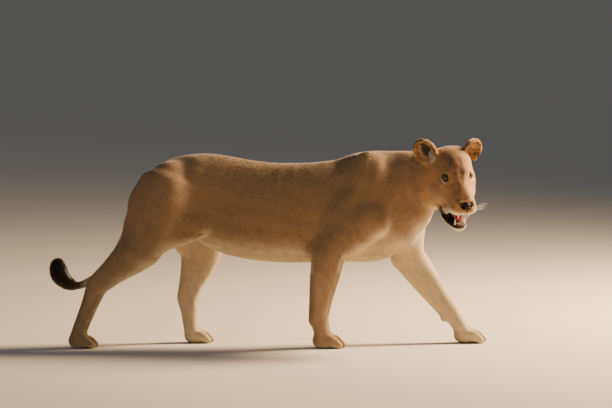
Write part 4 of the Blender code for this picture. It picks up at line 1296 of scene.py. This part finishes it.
def make_whiskers():
    """All the whiskers as one piece, rooted in the skin."""
    form = bmesh.new()
    turns = np.random.default_rng(77)
    for side, out in SIDES.items():
        for height, hairs in WHISKER_ROWS:
            for number in range(hairs if side == "right" else HAIRS_LEFT):
                x = 0.117 - 0.0095 * number - turns.uniform(0, 0.002)
                root = root_on_skin(x, out * 0.075, height - 0.0012 * number)
                rise = 0.22 + 9.0 * (height + 0.094) - 0.10 * number
                along = Vector((-0.25 - 0.16 * number, out, rise)).normalized()
                length = turns.uniform(0.055, 0.075) + 0.012 * number
                sag = Vector((-0.022, 0, -0.022)) * turns.uniform(0.7, 1.3)
                whisker(form, root - along * 0.002, along, sag, length, WHISKER_RADIUS)
        for number in range(BROW_HAIRS):
            root = root_on_skin(0.012 - 0.006 * number, out * 0.047, 0.060)
            along = Vector((-0.20, out * 0.35, 1)).normalized()
            sag = Vector((-0.020, out * 0.004, -0.004))
            whisker(form, root - along * 0.002, along, sag, 0.036 + 0.005 * number, BROW_HAIR_RADIUS)
    bmesh.ops.transform(form, matrix=HEAD, verts=form.verts)
    bmesh.ops.recalc_face_normals(form, faces=form.faces)
    mesh = mesh_from(form, "whiskers")
    mesh.materials.append(whisker_material())
    whiskers = new_object("whiskers", mesh)
    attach(whiskers, "root")


make_whiskers()


# Studio -------------------------------------------------------------------------------
# A pale matt floor, a warm soft light high up ahead of her on the far side, a weak fill on
# the near side and a pale sky. The camera stands to her right at a long distance.
FLOOR_HALF = 400
FLOOR_BOARD = new_material("pale_board", Base_Color=(*linear("#CDC6BA"), 1), Roughness=0.9)[0]
form = bmesh.new()
bmesh.ops.create_grid(form, x_segments=1, y_segments=1, size=FLOOR_HALF)
floor = new_object("floor", mesh_from(form, "floor"))
floor.data.materials.append(FLOOR_BOARD)


def add_light(name, place, aim, size, power, code):
    """A round soft light at a place, turned towards another."""
    lamp = bpy.data.lights.new(name, "AREA")
    lamp.shape = "DISK"
    lamp.size = size
    lamp.energy = power
    lamp.color = linear(code)
    thing = new_object(name, lamp)
    thing.location = place
    thing.rotation_euler = (Vector(aim) - Vector(place)).to_track_quat("-Z", "Y").to_euler()


add_light("key", (4.4, 1.6, 3.3), (0.3, 0.0, 0.5), 1.6, 1500, "#FFDEAE")
add_light("fill", (-2.5, -5.0, 3.0), (0.0, 0.0, 0.5), 4.0, 20, "#F4F4FF")
world = bpy.data.worlds.new("studio")
bpy.context.scene.world = world
world.use_nodes = True
sky = world.node_tree.nodes["Background"]
sky.inputs["Color"].default_value = (*linear("#DCE2EC"), 1)
sky.inputs["Strength"].default_value = 0.20

SENSOR, VIEW_WIDTH, VIEW_DISTANCE, VIEW_RISE = 36, 2.754, 15.0, math.radians(4)
VIEW_CENTRE = Vector((0.163, 0.0585, 0.639))
lens = bpy.data.cameras.new("camera")
lens.sensor_width = SENSOR
lens.lens = SENSOR * VIEW_DISTANCE / VIEW_WIDTH
lens.clip_end = 1000
camera = new_object("camera", lens)
camera.location = VIEW_CENTRE + VIEW_DISTANCE * Vector((0, -math.cos(VIEW_RISE), math.sin(VIEW_RISE)))
camera.rotation_euler = (math.pi / 2 - VIEW_RISE, 0, 0)
bpy.context.scene.camera = camera
